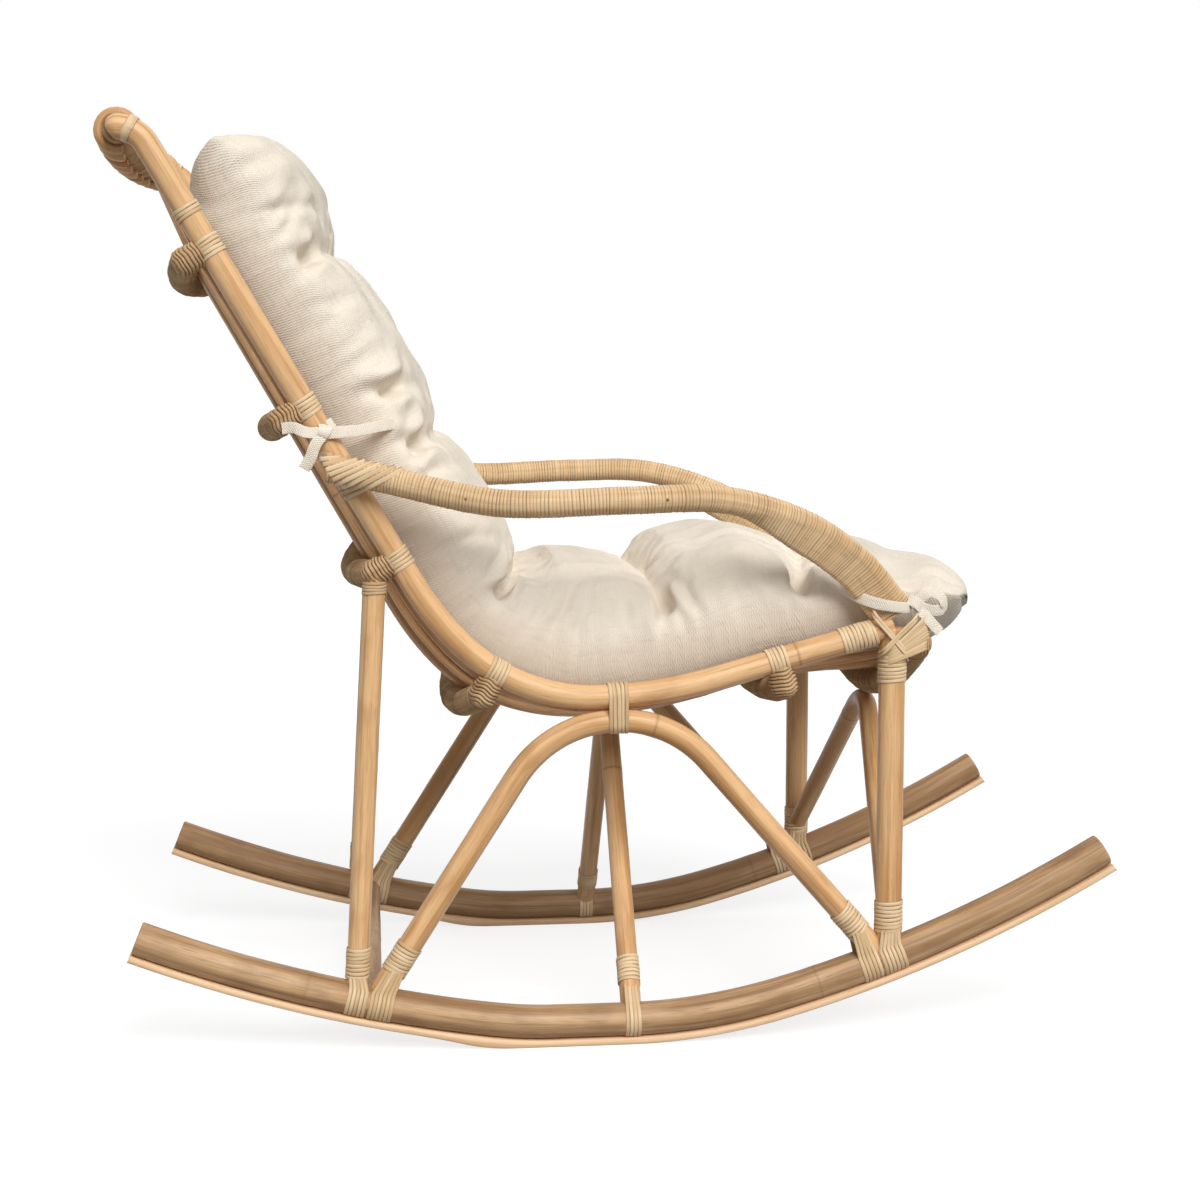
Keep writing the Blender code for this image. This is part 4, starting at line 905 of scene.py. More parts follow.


# The number after a cane's roughness sets how strongly the dark attribute browns it: joints, and painted groove shade
# on windings, rails and lashings.
MATERIAL_MAKERS = {
    "pole": lambda c: cane_material("honey_rattan_pole", c.pole_light, c.pole_dark, c.pole_streak, 0.36,
                                    stain=0.45),
    "rocker": lambda c: cane_material("weathered_rocker_rattan", c.rocker_light, c.rocker_dark, c.rocker_streak, 0.45,
                                      hair=0.8, stain=0.5),
    "wound": lambda c: cane_material("wound_arm_cane", c.wound_light, c.wound_dark, c.wound_dark, 0.5, 0.85, 0.5, 0.3),
    "rail": lambda c: cane_material("wound_rail_cane", c.rail_light, c.rail_dark, c.rail_dark, 0.75, 1.0, 0.7, 0.4),
    "cane": lambda c: cane_material("pale_lashing_cane", c.cane_light, c.cane_dark, c.cane_dark, 0.5, 0.85, 0.5, 0.3),
    "sole": lambda c: cane_material("pale_sole_wood", c.sole_light, c.sole_dark, c.sole_dark, 0.55, hair=0.3),
    "cotton": lambda c: cotton_material(),
}


def finish(key):
    """A finish's material, made when it is first asked for."""
    made = bpy.context.scene.get("rattan_finishes", {})
    if key in made:
        return bpy.data.materials[made[key]]
    material = MATERIAL_MAKERS[key](finish_colours())
    bpy.context.scene["rattan_finishes"] = {**dict(made), key: material.name}
    return material


def stood_on(line, lift):
    """A pole's line that starts a lift further along, just inside what it stands on."""
    whole = reach_along(line)[-1]
    return at_reach(line, np.linspace(lift, whole, max(8, round(whole / 0.004))))


# Tones of the near and far rocker; the far rocker's darker tone is painted shade from the seat above it.
ROCKER_TONES_FAR_PAINTED_SHADE = (0.55, 1.25)
REAR_POST_TONES = (0.0, 0.5)
SOLE_EASE = 15


class RATTAN_OT_rockers(bpy.types.Operator):
    """Bend the two rockers and plane the soles under them"""

    bl_idname = "rattan.rockers"
    bl_label = "Rockers and soles"

    def execute(self, context):
        for index, (label, sign) in enumerate(SIDES):
            y = sign * HALF_TRACK
            shell = bare_shell(in_plane(ROCKER_CENTRE, y), ROCKER_DIAMETER, 11 + index, sides=28)
            # The far rocker gets a darker tone as painted shade.
            shell["tone"] = np.full_like(shell["tone"], ROCKER_TONES_FAR_PAINTED_SHADE[index])
            make_piece(f"bent_rocker_{label}", [shell], finish("rocker"), [f"rocker_{label}"])
            make_piece(f"planed_sole_{label}", [sole_shell(y, 21 + index)], finish("sole"),
                       [f"rocker_sole_{label}"])
        return {"FINISHED"}


def sole_shell(y, seed):
    """A sole's skin: bevelled edges, its underside planed level where the chair rests."""
    top = rocker_line(SOLE_THICKNESS)
    low = rocker_line(0.0)
    level = np.interp(low[:, 0] - ORIGIN_X, (-SOLE_PLANED_BACK, -SOLE_PLANED, REST_FLAT / 2), (1.0, 0.0, 0.0))
    back_height = np.interp(ORIGIN_X - SOLE_PLANED_BACK, low[:, 0], low[:, 1])
    planed = (low[:, 0] > ORIGIN_X - SOLE_PLANED_BACK) & (low[:, 0] < ORIGIN_X + REST_FLAT / 2)
    low[planed, 1] = np.minimum(low[planed, 1], level[planed] * back_height)
    eased = np.convolve(low[:, 1], np.full(SOLE_EASE, 1 / SOLE_EASE), mode="same")
    near = np.abs(low[:, 0] - ORIGIN_X + SOLE_PLANED_BACK) < SOLE_PLANED
    low[near, 1] = np.maximum(eased[near], 0.0)
    bevel = 0.0009
    half = SOLE_WIDTH / 2
    corners = ((-half, bevel), (-half + bevel, 0.0), (half - bevel, 0.0), (half, bevel))
    lower = [np.stack([low[:, 0], np.full(len(low), y + side), low[:, 1] + lift], axis=1) for side, lift in corners]
    upper = [np.stack([top[:, 0], np.full(len(top), y - side), top[:, 1] - lift], axis=1) for side, lift in corners]
    rings = np.stack(lower + upper, axis=1)
    reach = reach_along(rings[:, 0])
    shape = rings.shape[:2]
    across = np.broadcast_to((-half, -half, half, half, half, half, -half, -half), shape)
    lie = np.stack([across, np.broadcast_to((0, 0, 0, 0, 1, 1, 1, 1), shape) * SOLE_THICKNESS,
                    np.broadcast_to((reach + 1.9 * seed)[:, None], shape)], axis=2)
    return dict(rings=rings, reach=reach, around=2 * SOLE_WIDTH, tone=np.full(shape, 0.4), dark=np.zeros(shape), lie=lie)


class RATTAN_OT_side_poles(bpy.types.Operator):
    """Bend the two poles that are the seat's and the back's sides"""

    bl_idname = "rattan.side_poles"
    bl_label = "Side poles"

    def execute(self, context):
        for index, (label, sign) in enumerate(SIDES):
            line = side_pole_line(sign * HALF_TRACK)
            shell = bare_shell(line, SIDE_POLE_DIAMETER, 31 + index, 24, 0.005, SIDE_POLE_DIAMETER / 2, 0.0018)
            make_piece(f"bent_side_pole_{label}", [shell], finish("pole"), [f"side_pole_{label}"])
        return {"FINISHED"}


class RATTAN_OT_legs(bpy.types.Operator):
    """Stand the posts and arches on the rockers and set the rear stretcher"""

    bl_idname = "rattan.legs"
    bl_label = "Posts, arches and stretcher"

    def execute(self, context):
        bite = ROCKER_DIAMETER / 2 - 0.007
        for index, (label, sign) in enumerate(SIDES):
            y = sign * HALF_TRACK
            arch = side_arch_line(y)
            inner = reach_along(arch)[-1] - 2 * bite
            arch = at_reach(arch, bite + np.linspace(0.0, inner, round(inner / 0.004)))
            for name, line, diameter in (
                    ("side_arch", arch, ARCH_DIAMETER),
                    ("rear_post", stood_on(rear_post_line(y), bite), REAR_POST_DIAMETER),
                    ("front_post", stood_on(front_post_line(y), bite), FRONT_POST_DIAMETER)):
                shell = bare_shell(line, diameter, 41 + 7 * index + len(name), sides=22)
                if name == "rear_post":
                    shell["tone"] = np.full_like(shell["tone"], REAR_POST_TONES[index])
                make_piece(f"bare_{name}_{label}", [shell], finish("pole"), [f"{name}_{label}"])
        for index, (name, line, inset) in enumerate((
                ("middle_arch", middle_arch_line(), bite), ("front_arch", front_arch_line(), 0.012))):
            inner = reach_along(line)[-1] - 2 * inset
            line = at_reach(line, inset + np.linspace(0.0, inner, round(inner / 0.004)))
            shell = bare_shell(line, CROSS_ARCH_DIAMETER, 61 + index)
            make_piece(f"bare_{name}", [shell], finish("pole"), [name])
        z = rocker_height(STRETCHER_X)
        reach = HALF_TRACK - bite
        line = np.array([(STRETCHER_X, y, z) for y in np.linspace(-reach, reach, 60)])
        make_piece("bare_rear_stretcher", [bare_shell(line, STRETCHER_DIAMETER, 71)], finish("rocker"),
                   ["rear_stretcher"])
        return {"FINISHED"}


class RATTAN_OT_slats(bpy.types.Operator):
    """Lay the slats from the top rail down the back and seat to the front rail"""

    bl_idname = "rattan.slats"
    bl_label = "Slats"

    def execute(self, context):
        ys = np.linspace(-SLAT_REACH, SLAT_REACH, SLAT_COUNT)
        for index, y in enumerate(ys, 1):
            shell = bare_shell(slat_line(y), SLAT_DIAMETER, 80 + index, sides=12)
            make_piece(f"bent_slat_{index}", [shell], finish("pole"), [f"slat_{index}"])
        return {"FINISHED"}


def rail_line(centre_at):
    """A bowed rail across the chair, up to the middles of the poles that carry it."""
    ys = np.linspace(-HALF_TRACK + 0.001, HALF_TRACK - 0.001, 160)
    return np.array([(centre_at(y)[0], y, centre_at(y)[1]) for y in ys])


CAP_DOME = 0.011


def cap_shell(end, inwards, reach, turn, ridge, seed):
    """The wound cap of a rail's end: a stub that looks away from the pole, with a round back."""
    line = np.array([end + inwards * depth for depth in np.linspace(reach, -RAIL_DIAMETER / 2, 30)])
    whole = reach_along(line)[-1]

    def section(places, angle, ridge):
        into = np.clip((places - whole + CAP_DOME) / CAP_DOME, 0.0, 0.985)
        radius = (RAIL_DIAMETER / 2 + ridge) * np.sqrt(1 - into ** 2)
        return radius * math.cos(angle), radius * math.sin(angle)

    return wound_shell(line, carried_outs((0.0, 1.0, 0.0)), turn, ridge, seed, section, 24,
                       lambda angles: 0.0010 * np.sin(3 * angles + seed) + 0.0006 * np.sin(5 * angles), 0.75)


def carried_outs(start):
    """Outward and sideways vectors along a line, carried from a start."""
    return lambda points: carried_frame(points, start)[1:]


def rail_section(places, angle, ridge):
    """Section of a wound rail."""
    radius = RAIL_DIAMETER / 2 + ridge
    return radius * math.cos(angle), radius * math.sin(angle)


class RATTAN_OT_rails(bpy.types.Operator):
    """Wind the cross rails closely with cane"""

    bl_idname = "rattan.rails"
    bl_label = "Wound rails"

    def execute(self, context):
        sizes = cane_sizes()
        rails = []
        for name, place, bow in LASHED_RAILS:
            heading = side_point(place)[2]
            inwards = np.array((-math.sin(heading), 0.0, math.cos(heading)))
            rails.append((name, rail_line(lashed_rail_centre(place, bow)), inwards))
        rails.append(("front_rail", rail_line(front_rail_centre), np.array((-1.0, 0.0, 0.0))))
        for index, (name, line, inwards) in enumerate(rails):
            seed = 100 + 10 * index
            start = np.cross(inwards, (0.0, 1.0, 0.0))
            shells = [wound_shell(line, carried_outs(start), sizes.rail_turn, sizes.rail_ridge, seed, rail_section,
                                  24, lambda angles: 0.0009 * np.sin(3 * angles), 0.75)]
            for side, end in enumerate((line[0], line[-1])):
                shells.append(cap_shell(end, inwards, RAIL_SETBACK - SIDE_POLE_DIAMETER / 4, sizes.rail_turn,
                                        sizes.rail_ridge, seed + 3 + side))
            make_piece(f"wound_{name}", shells, finish("rail"), [name])
        line = rail_line(top_rail_centre)
        shell = wound_shell(line, carried_outs((0.0, 0.0, 1.0)), 2 * sizes.rail_turn, sizes.rail_ridge, 170, rail_section)
        make_piece("wound_top_rail", [shell], finish("rail"), ["top_rail"])
        return {"FINISHED"}


def below(points):
    """Vectors below an arm, square to it in upright planes, and sideways ones."""
    tangents = np.gradient(points, axis=0)
    tangents /= np.linalg.norm(tangents, axis=1)[:, None]
    outs = np.stack([tangents[:, 2], np.zeros(len(tangents)), -tangents[:, 0]], axis=1)
    outs /= np.linalg.norm(outs, axis=1)[:, None]
    return outs, np.cross(tangents, outs)


SPLICE_NARROW = 0.74


def arm_section(line):
    """Section of a wound arm: round, and drawn over the splice below it towards the front."""
    reach = reach_along(line)
    start = float(np.interp(SPLICE_START_X, line[:, 0], reach))
    full = (ARM_DIAMETER + SPLICE_DIAMETER) / 2 + CLEARANCE
    hidden = (ARM_DIAMETER - SPLICE_DIAMETER) / 2 - 0.001

    def section(places, angle, ridge):
        share = np.clip((places - start) / SPLICE_BLEND, 0.0, 1.0)
        offset = hidden + (full - hidden) * share ** 2 * (3 - 2 * share)
        on_splice = offset * math.cos(angle) + SPLICE_DIAMETER / 2 > ARM_DIAMETER / 2
        radius = np.where(on_splice, SPLICE_DIAMETER / 2, ARM_DIAMETER / 2) + ridge
        across = radius * np.where(on_splice, 1 - (1 - SPLICE_NARROW) * share, 1.0)
        return np.where(on_splice, offset, 0.0) + radius * math.cos(angle), across * math.sin(angle)

    return section


class RATTAN_OT_arms(bpy.types.Operator):
    """Wind the arms, together with the splice under each front bend"""

    bl_idname = "rattan.arms"
    bl_label = "Wound arms"

    def execute(self, context):
        for index, (label, sign) in enumerate(SIDES):
            line = arm_line(sign)
            sizes = cane_sizes()
            shell = wound_shell(line, below, sizes.arm_turn, sizes.arm_ridge, 120 + index, arm_section(line), sides=32)
            make_piece(f"wound_arm_{label}", [shell], finish("wound"),
                       [f"arm_{label}", f"arm_splice_{label}"])
        return {"FINISHED"}


def pole_round(diameter, centre=(0.0, 0.0), lean=(0.0, 0.0)):
    """A pole's section in a winding's plane: centre, radius and lean."""
    return np.array(centre), diameter / 2, np.array(lean)


def taut_point(rounds, angle, margin):
    """Point of a taut loop round poles where its outside looks along an angle."""
    way = np.array((math.cos(angle), math.sin(angle)))
    best, found = -math.inf, None
    for centre, radius, lean in rounds:
        stretched = way + lean * way.dot(lean)
        size = math.sqrt(way.dot(stretched))
        if way.dot(centre) + radius * size > best:
            best = way.dot(centre) + radius * size
            found = centre + radius * stretched / size
    return found + margin * way


def axis_frame(axis, sideways):
    """Three square unit vectors, the first sideways and the last along an axis."""
    z = unit(np.asarray(axis, float))
    y = unit(np.cross(z, sideways))
    return np.stack([np.cross(y, z), y, z], axis=0)


def winding_shell(origin, axis, sideways, rounds_at, loops, seed, width=None, thickness=None, gap=None,
                  start=0.0, parts=26):
    """A strip wound round poles, climbing along an axis from an origin."""
    sizes = cane_sizes()
    width = width or sizes.strip_width
    thickness = thickness or sizes.strip_thickness
    pitch = width + (sizes.strip_gap if gap is None else gap)
    base = axis_frame(axis, sideways)
    points, outs = [], []
    for step in range(parts * loops + 1):
        angle = start + FULL_TURN * step / parts
        height = width / 2 + pitch * step / parts
        tilt = 0.0004 * math.sin(0.9 * angle + seed) + 0.0002 * math.sin(2.3 * angle + seed)
        lift = thickness / 2 + 0.00015 * (1 + math.sin(0.8 * angle))
        spot = taut_point(rounds_at(height), angle, lift)
        points.append(np.asarray(origin) + spot[0] * base[0] + spot[1] * base[1] + (height + tilt) * base[2])
        outs.append(math.cos(angle) * base[0] + math.sin(angle) * base[1])
    return strip_shell(np.array(points), np.array(outs), seed, width, thickness)


def saddle_shells(line, centre_x, count, pole_diameter, rise, seed):
    """Strips from a pole's foot down over both faces of its rocker to the sole."""
    sizes = cane_sizes()
    y = line[0][1]
    axis = unit(line[-1] - line[0])
    shells = []
    spacing = sizes.strip_width * 1.02
    rocker_reach = ROCKER_DIAMETER / 2 + sizes.strip_thickness / 2 + 0.0002
    for side in (-1.0, 1.0):
        for index in range(count):
            aside = (index - (count - 1) / 2) * spacing
            x = centre_x + aside
            ahead = rocker_height(x + 0.002) - rocker_height(x - 0.002)
            normal = unit(np.array((-ahead, 0.0, 0.004)))
            middle = np.array((x, y, rocker_height(x)))
            squeeze = np.clip(aside * 0.8, -0.8 * pole_diameter / 2, 0.8 * pole_diameter / 2)
            bulge = math.sqrt((pole_diameter / 2) ** 2 - squeeze ** 2) + sizes.strip_thickness / 2
            head = line[0] + axis * rise + np.array((squeeze, side * bulge, 0.0))
            corners = [np.concatenate([head, (0.0, side, 0.0)])]
            for degrees in (42, 24, 6, -12, -30, -48, -62):
                tilt = math.radians(degrees)
                way = side * math.cos(tilt) * np.array((0.0, 1.0, 0.0)) + math.sin(tilt) * normal
                corners.append(np.concatenate([middle + rocker_reach * way, way]))
            path = smooth_path(corners, 0.004)
            shells.append(strip_shell(path[:, :3], path[:, 3:], seed + index + 40 * (side > 0)))
    return shells


FOOT_TURNS = 8


def foot_lashing(name, line, diameter, start, saddle_x, saddle_count, seed, turns=FOOT_TURNS):
    """Lashing of a pole's foot: a wound band, and strips that tie it down over the rocker."""
    axis = unit(line[-1] - line[0])
    rounds = [pole_round(diameter)]
    band = winding_shell(line[0] + axis * start, axis, (1.0, 0.0, 0.0), lambda height: rounds, turns, seed)
    strips = saddle_shells(line, saddle_x, saddle_count, diameter, start + 0.006, seed + 1)
    make_piece(f"wound_{name}", [band] + strips, finish("cane"), [name])


class RATTAN_OT_foot_lashings(bpy.types.Operator):
    """Lash the posts' and arches' feet to the rockers"""

    bl_idname = "rattan.foot_lashings"
    bl_label = "Foot lashings"

    def execute(self, context):
        crown = ROCKER_DIAMETER / 2
        middle = middle_arch_line()
        for index, (label, sign) in enumerate(SIDES):
            y = sign * HALF_TRACK
            arch = side_arch_line(y)
            seed = 200 + 150 * index
            rear, front = rear_post_line(y), front_post_line(y)
            foot_lashing(f"rear_post_lashing_{label}", rear, REAR_POST_DIAMETER, crown + 0.002,
                         REAR_POST_FOOT_X, 5, seed)
            foot_lashing(f"arch_rear_lashing_{label}", np.array((arch[0], arch[10])), ARCH_DIAMETER, crown + 0.018,
                         REAR_POST_FOOT_X + 0.026, 6, seed + 11)
            foot_lashing(f"front_post_lashing_{label}", front, FRONT_POST_DIAMETER, crown + 0.008,
                         FRONT_POST_X + 0.0035, 6, seed + 22)
            foot_lashing(f"arch_front_lashing_{label}", np.array((arch[-1], arch[-11])), ARCH_DIAMETER, crown + 0.020,
                         FRONT_POST_X - 0.0215, 5, seed + 33)
            ends = middle if sign < 0 else middle[::-1]
            foot_lashing(f"middle_arch_lashing_{label}", np.array((ends[0], ends[12])), CROSS_ARCH_DIAMETER,
                         crown + 0.020, MIDDLE_ARCH_X, 4, seed + 44, 7)
        return {"FINISHED"}


def passing(line, diameter, origin, base):
    """Section, at any height of a winding, of a pole that passes it."""
    local = (line - origin) @ base.T
    order = np.argsort(local[:, 2])
    local = local[order]
    slope = np.gradient(local[:, :2], axis=0) / np.maximum(np.abs(np.gradient(local[:, 2])), 1e-5)[:, None]

    def at(height):
        centre = [np.interp(height, local[:, 2], local[:, axis]) for axis in (0, 1)]
        lean = [np.clip(np.interp(height, local[:, 2], slope[:, axis]), -1.2, 1.2) for axis in (0, 1)]
        return pole_round(diameter, centre, lean)

    return at


def band_on_pole(name, place, y, turns, seed, nodes=(), diameter=SIDE_POLE_DIAMETER):
    """A lashing round the side pole at a place."""
    x, z, heading = side_point(place)
    axis = np.array((math.cos(heading), 0.0, math.sin(heading)))
    width = turns * (cane_sizes().strip_width + cane_sizes().strip_gap) + cane_sizes().strip_width
    rounds = [pole_round(diameter)]
    origin = np.array((x, y, z)) - axis * width / 2
    shell = winding_shell(origin, axis, (0.0, -math.copysign(1.0, y), 0.0), lambda height: rounds, turns, seed)
    make_piece(name, [shell], finish("cane"), nodes)


def face_height(spot, poles, sign):
    """How far out the faces of poles stand over a spot (x, z) of the chair's side."""
    best = -math.inf
    for line, diameter in poles:
        apart = np.hypot(line[:, 0] - spot[0], line[:, 2] - spot[1])
        near = int(np.argmin(apart))
        inside = (diameter / 2) ** 2 - apart[near] ** 2
        if inside >= 0:
            best = max(best, sign * line[near, 1] + math.sqrt(inside))
    return best


def taut_heights(places, heights):
    """Heights of a string that is pulled tight over bumps."""
    kept = []
    for place, height in zip(places, heights):
        if not math.isfinite(height):
            continue
        while len(kept) > 1:
            (a, low), (b, middle) = kept[-2:]
            if (b - a) * (height - low) < (middle - low) * (place - a):
                break
            kept.pop()
        kept.append((place, height))
    return np.interp(places, *zip(*kept))


def taut_strip(start, end, poles, sign, seed):
    """A strip pulled tight over poles from a spot to another, tucked in behind at both ends."""
    thickness = cane_sizes().strip_thickness
    shares = np.linspace(0.0, 1.0, 28)
    spots = start + shares[:, None] * (end - start)
    heights = taut_heights(shares, [face_height(spot, poles, sign) for spot in spots]) + thickness * 0.6
    along = unit(end - start)
    rows = [(*(start + 0.004 * along), heights[0] - 0.014), (*(start - 0.0012 * along), heights[0] - 0.006)]
    rows += [(*spot, height) for spot, height in zip(spots, heights)]
    rows += [(*(end + 0.0012 * along), heights[-1] - 0.006), (*(end - 0.004 * along), heights[-1] - 0.014)]
    points = smooth_path([(x, sign * height, z) for x, z, height in rows], 0.003)
    tangents = np.gradient(points, axis=0)
    outs = np.cross(tangents, (-along[1], 0.0, along[0]))
    outs *= math.copysign(1.0, outs[len(outs) // 2][1] * sign)
    return strip_shell(points, outs, seed, STRAP_WIDTH, tone=0.35 + 0.3 * math.sin(2.4 * seed))


STRAP_STRIPS = 10
STRAP_ON_POLE = (-0.030, 0.025)
STRAP_ON_ARM = (0.004, 0.076)
STRAP_WIDTH = 0.0054
SLAT_TIE_HEIGHT = 0.9165
TOP_BAND_SHARE = 0.5
TOP_BAND_WIDTH = 0.010
ARM_NAILS = (-0.1683, 0.0378)


class RATTAN_OT_upper_lashings(bpy.types.Operator):
    """Lash rails, arch tops and arms to the side poles"""

    bl_idname = "rattan.upper_lashings"
    bl_label = "Upper lashings"

    def execute(self, context):
        for index, (label, sign) in enumerate(SIDES):
            y = sign * HALF_TRACK
            seed = 500 + 100 * index
            for rail, (name, place, _) in enumerate(LASHED_RAILS):
                band_on_pole(f"lashing_{name}_{label}", place, y, 5, seed + 3 * rail)
            band_on_pole(f"band_below_top_{label}", -0.688, y, 3, seed + 21)
            band_on_pole(f"winding_pole_end_{label}", POLE_END_PLACE - 0.040, y, 9, seed + 24)
            self.top_band(label, y, seed + 27)
            self.arch_top(label, y, seed + 31)
            self.arm_strap(label, sign, seed + 35)
            self.post_head(label, y, seed + 49)
            self.slat_tie(label, sign, seed + 53)
            self.arm_nails(label, sign)
        return {"FINISHED"}

    def top_band(self, label, y, seed):
        x, z, heading = turn_point(TOP_X, TOP_Z, TOP_HEADING + math.pi, TOP_BEND_RADIUS, -TOP_HEADING * TOP_BAND_SHARE)
        axis = np.array((math.cos(heading), 0.0, math.sin(heading)))
        rounds = [pole_round(SIDE_POLE_DIAMETER)]
        shell = winding_shell(np.array((x, y, z)), axis, (0.0, -1.0, 0.0), lambda height: rounds, 1, seed,
                              TOP_BAND_WIDTH, gap=-0.95 * TOP_BAND_WIDTH)
        make_piece(f"band_at_top_{label}", [shell], finish("cane"))

    def arch_top(self, label, y, seed):
        turns = 5
        width = turns * (cane_sizes().strip_width + cane_sizes().strip_gap) + cane_sizes().strip_width
        origin = np.array((ARCH_APEX_X - width / 2, y, arch_apex_height()))
        base = axis_frame((1.0, 0.0, 0.0), (0.0, 1.0, 0.0))
        pole = side_pole_line(y)
        poles = (passing(pole[pole[:, 2] < SEAT_LOW_HEIGHT + 0.03], SIDE_POLE_DIAMETER, origin, base),
                 passing(side_arch_line(y), ARCH_DIAMETER, origin, base))
        shell = winding_shell(origin, (1.0, 0.0, 0.0), (0.0, 1.0, 0.0),
                              lambda height: [pole(height) for pole in poles], turns, seed)
        make_piece(f"wound_arch_top_lashing_{label}", [shell], finish("cane"),
                   [f"arch_top_lashing_{label}"])

    def arm_strap(self, label, sign, seed):
        """Parallel strips from behind the side pole over the arm's rear end and round behind it."""
        arm = arm_line(sign)
        pole = side_pole_line(sign * HALF_TRACK)
        poles = ((pole, SIDE_POLE_DIAMETER), (arm, ARM_DIAMETER))
        shells = []
        for step in range(STRAP_STRIPS):
            share = step / (STRAP_STRIPS - 1)
            place = ARM_REAR_PLACE + STRAP_ON_POLE[0] + share * (STRAP_ON_POLE[1] - STRAP_ON_POLE[0])
            back = set_back(place, SIDE_POLE_DIAMETER / 2)
            reach = STRAP_ON_ARM[0] + share * (STRAP_ON_ARM[1] - STRAP_ON_ARM[0])
            middle, ahead = at_reach(arm, np.array((reach, reach + 0.002)))
            way = unit((ahead - middle)[[0, 2]])
            top = middle[[0, 2]] + ARM_DIAMETER / 2 * np.array((-way[1], way[0]))
            shells.append(taut_strip(back, top, poles, sign, seed + step))
        make_piece(f"wound_arm_strap_{label}", shells, finish("cane"), [f"arm_strap_{label}"])

    def post_head(self, label, y, seed):
        """The winding of a rear post's head, under the lower back rail's cap."""
        line = rear_post_line(y)
        axis = unit(line[1] - line[0])
        rounds = [pole_round(REAR_POST_DIAMETER)]
        origin = line[1] - axis * (RAIL_DIAMETER / 2 + 0.010)
        shell = winding_shell(origin, axis, (1.0, 0.0, 0.0), lambda height: rounds, 4, seed, 0.0034)
        make_piece(f"winding_post_head_{label}", [shell], finish("rail"))

    def slat_tie(self, label, sign, seed):
        """Two small ties on the outermost slat, below its wrap."""
        line = slat_line(sign * SLAT_REACH)
        line = line[line[:, 2] > SEAT_LOW_HEIGHT + 0.4]
        near = int(np.argmin(np.abs(line[:, 2] - SLAT_TIE_HEIGHT) + (line[:, 0] < line[:, 0].min() + 0.03)))
        axis = unit(line[near + 1] - line[near - 1])
        rounds = [pole_round(SLAT_DIAMETER)]
        shells = [winding_shell(line[near] + axis * offset, axis, (0.0, 1.0, 0.0), lambda height: rounds, 2, seed, 0.003)
                  for offset in (-0.010, 0.004)]
        make_piece(f"ties_on_outer_slat_{label}", shells, finish("cane"))

    def arm_nails(self, label, sign):
        """Two small nail heads in the arm's outer face."""
        arm = arm_line(sign)
        reach = reach_along(arm)
        angles = np.arange(12) * FULL_TURN / 12
        shells = []
        for x in ARM_NAILS:
            middle = at_reach(arm, np.array((np.interp(x, arm[:, 0], reach),)))[0]
            face = middle + np.array((0.0, sign * ARM_DIAMETER / 2, 0.0))
            rings = [[face + np.array((radius * math.cos(angle), sign * height, radius * math.sin(angle))) for angle in angles]
                     for radius, height in NAIL_PROFILE]
            shape = (len(NAIL_PROFILE), len(angles))
            shells.append(dict(rings=np.array(rings), reach=np.linspace(0, 0.003, len(NAIL_PROFILE)), around=0.01,
                               tone=np.ones(shape), dark=np.ones(shape), lie=np.array(rings)))
        make_piece(f"nails_in_arm_{label}", shells, finish("cane"))


NAIL_PROFILE = ((0.0016, -0.002), (0.0016, 0.0005), (0.0013, 0.0009), (0.0007, 0.0011), (0.0001, 0.0012))


FAN_STRIPS = 11
CROSS_STRIPS = 2


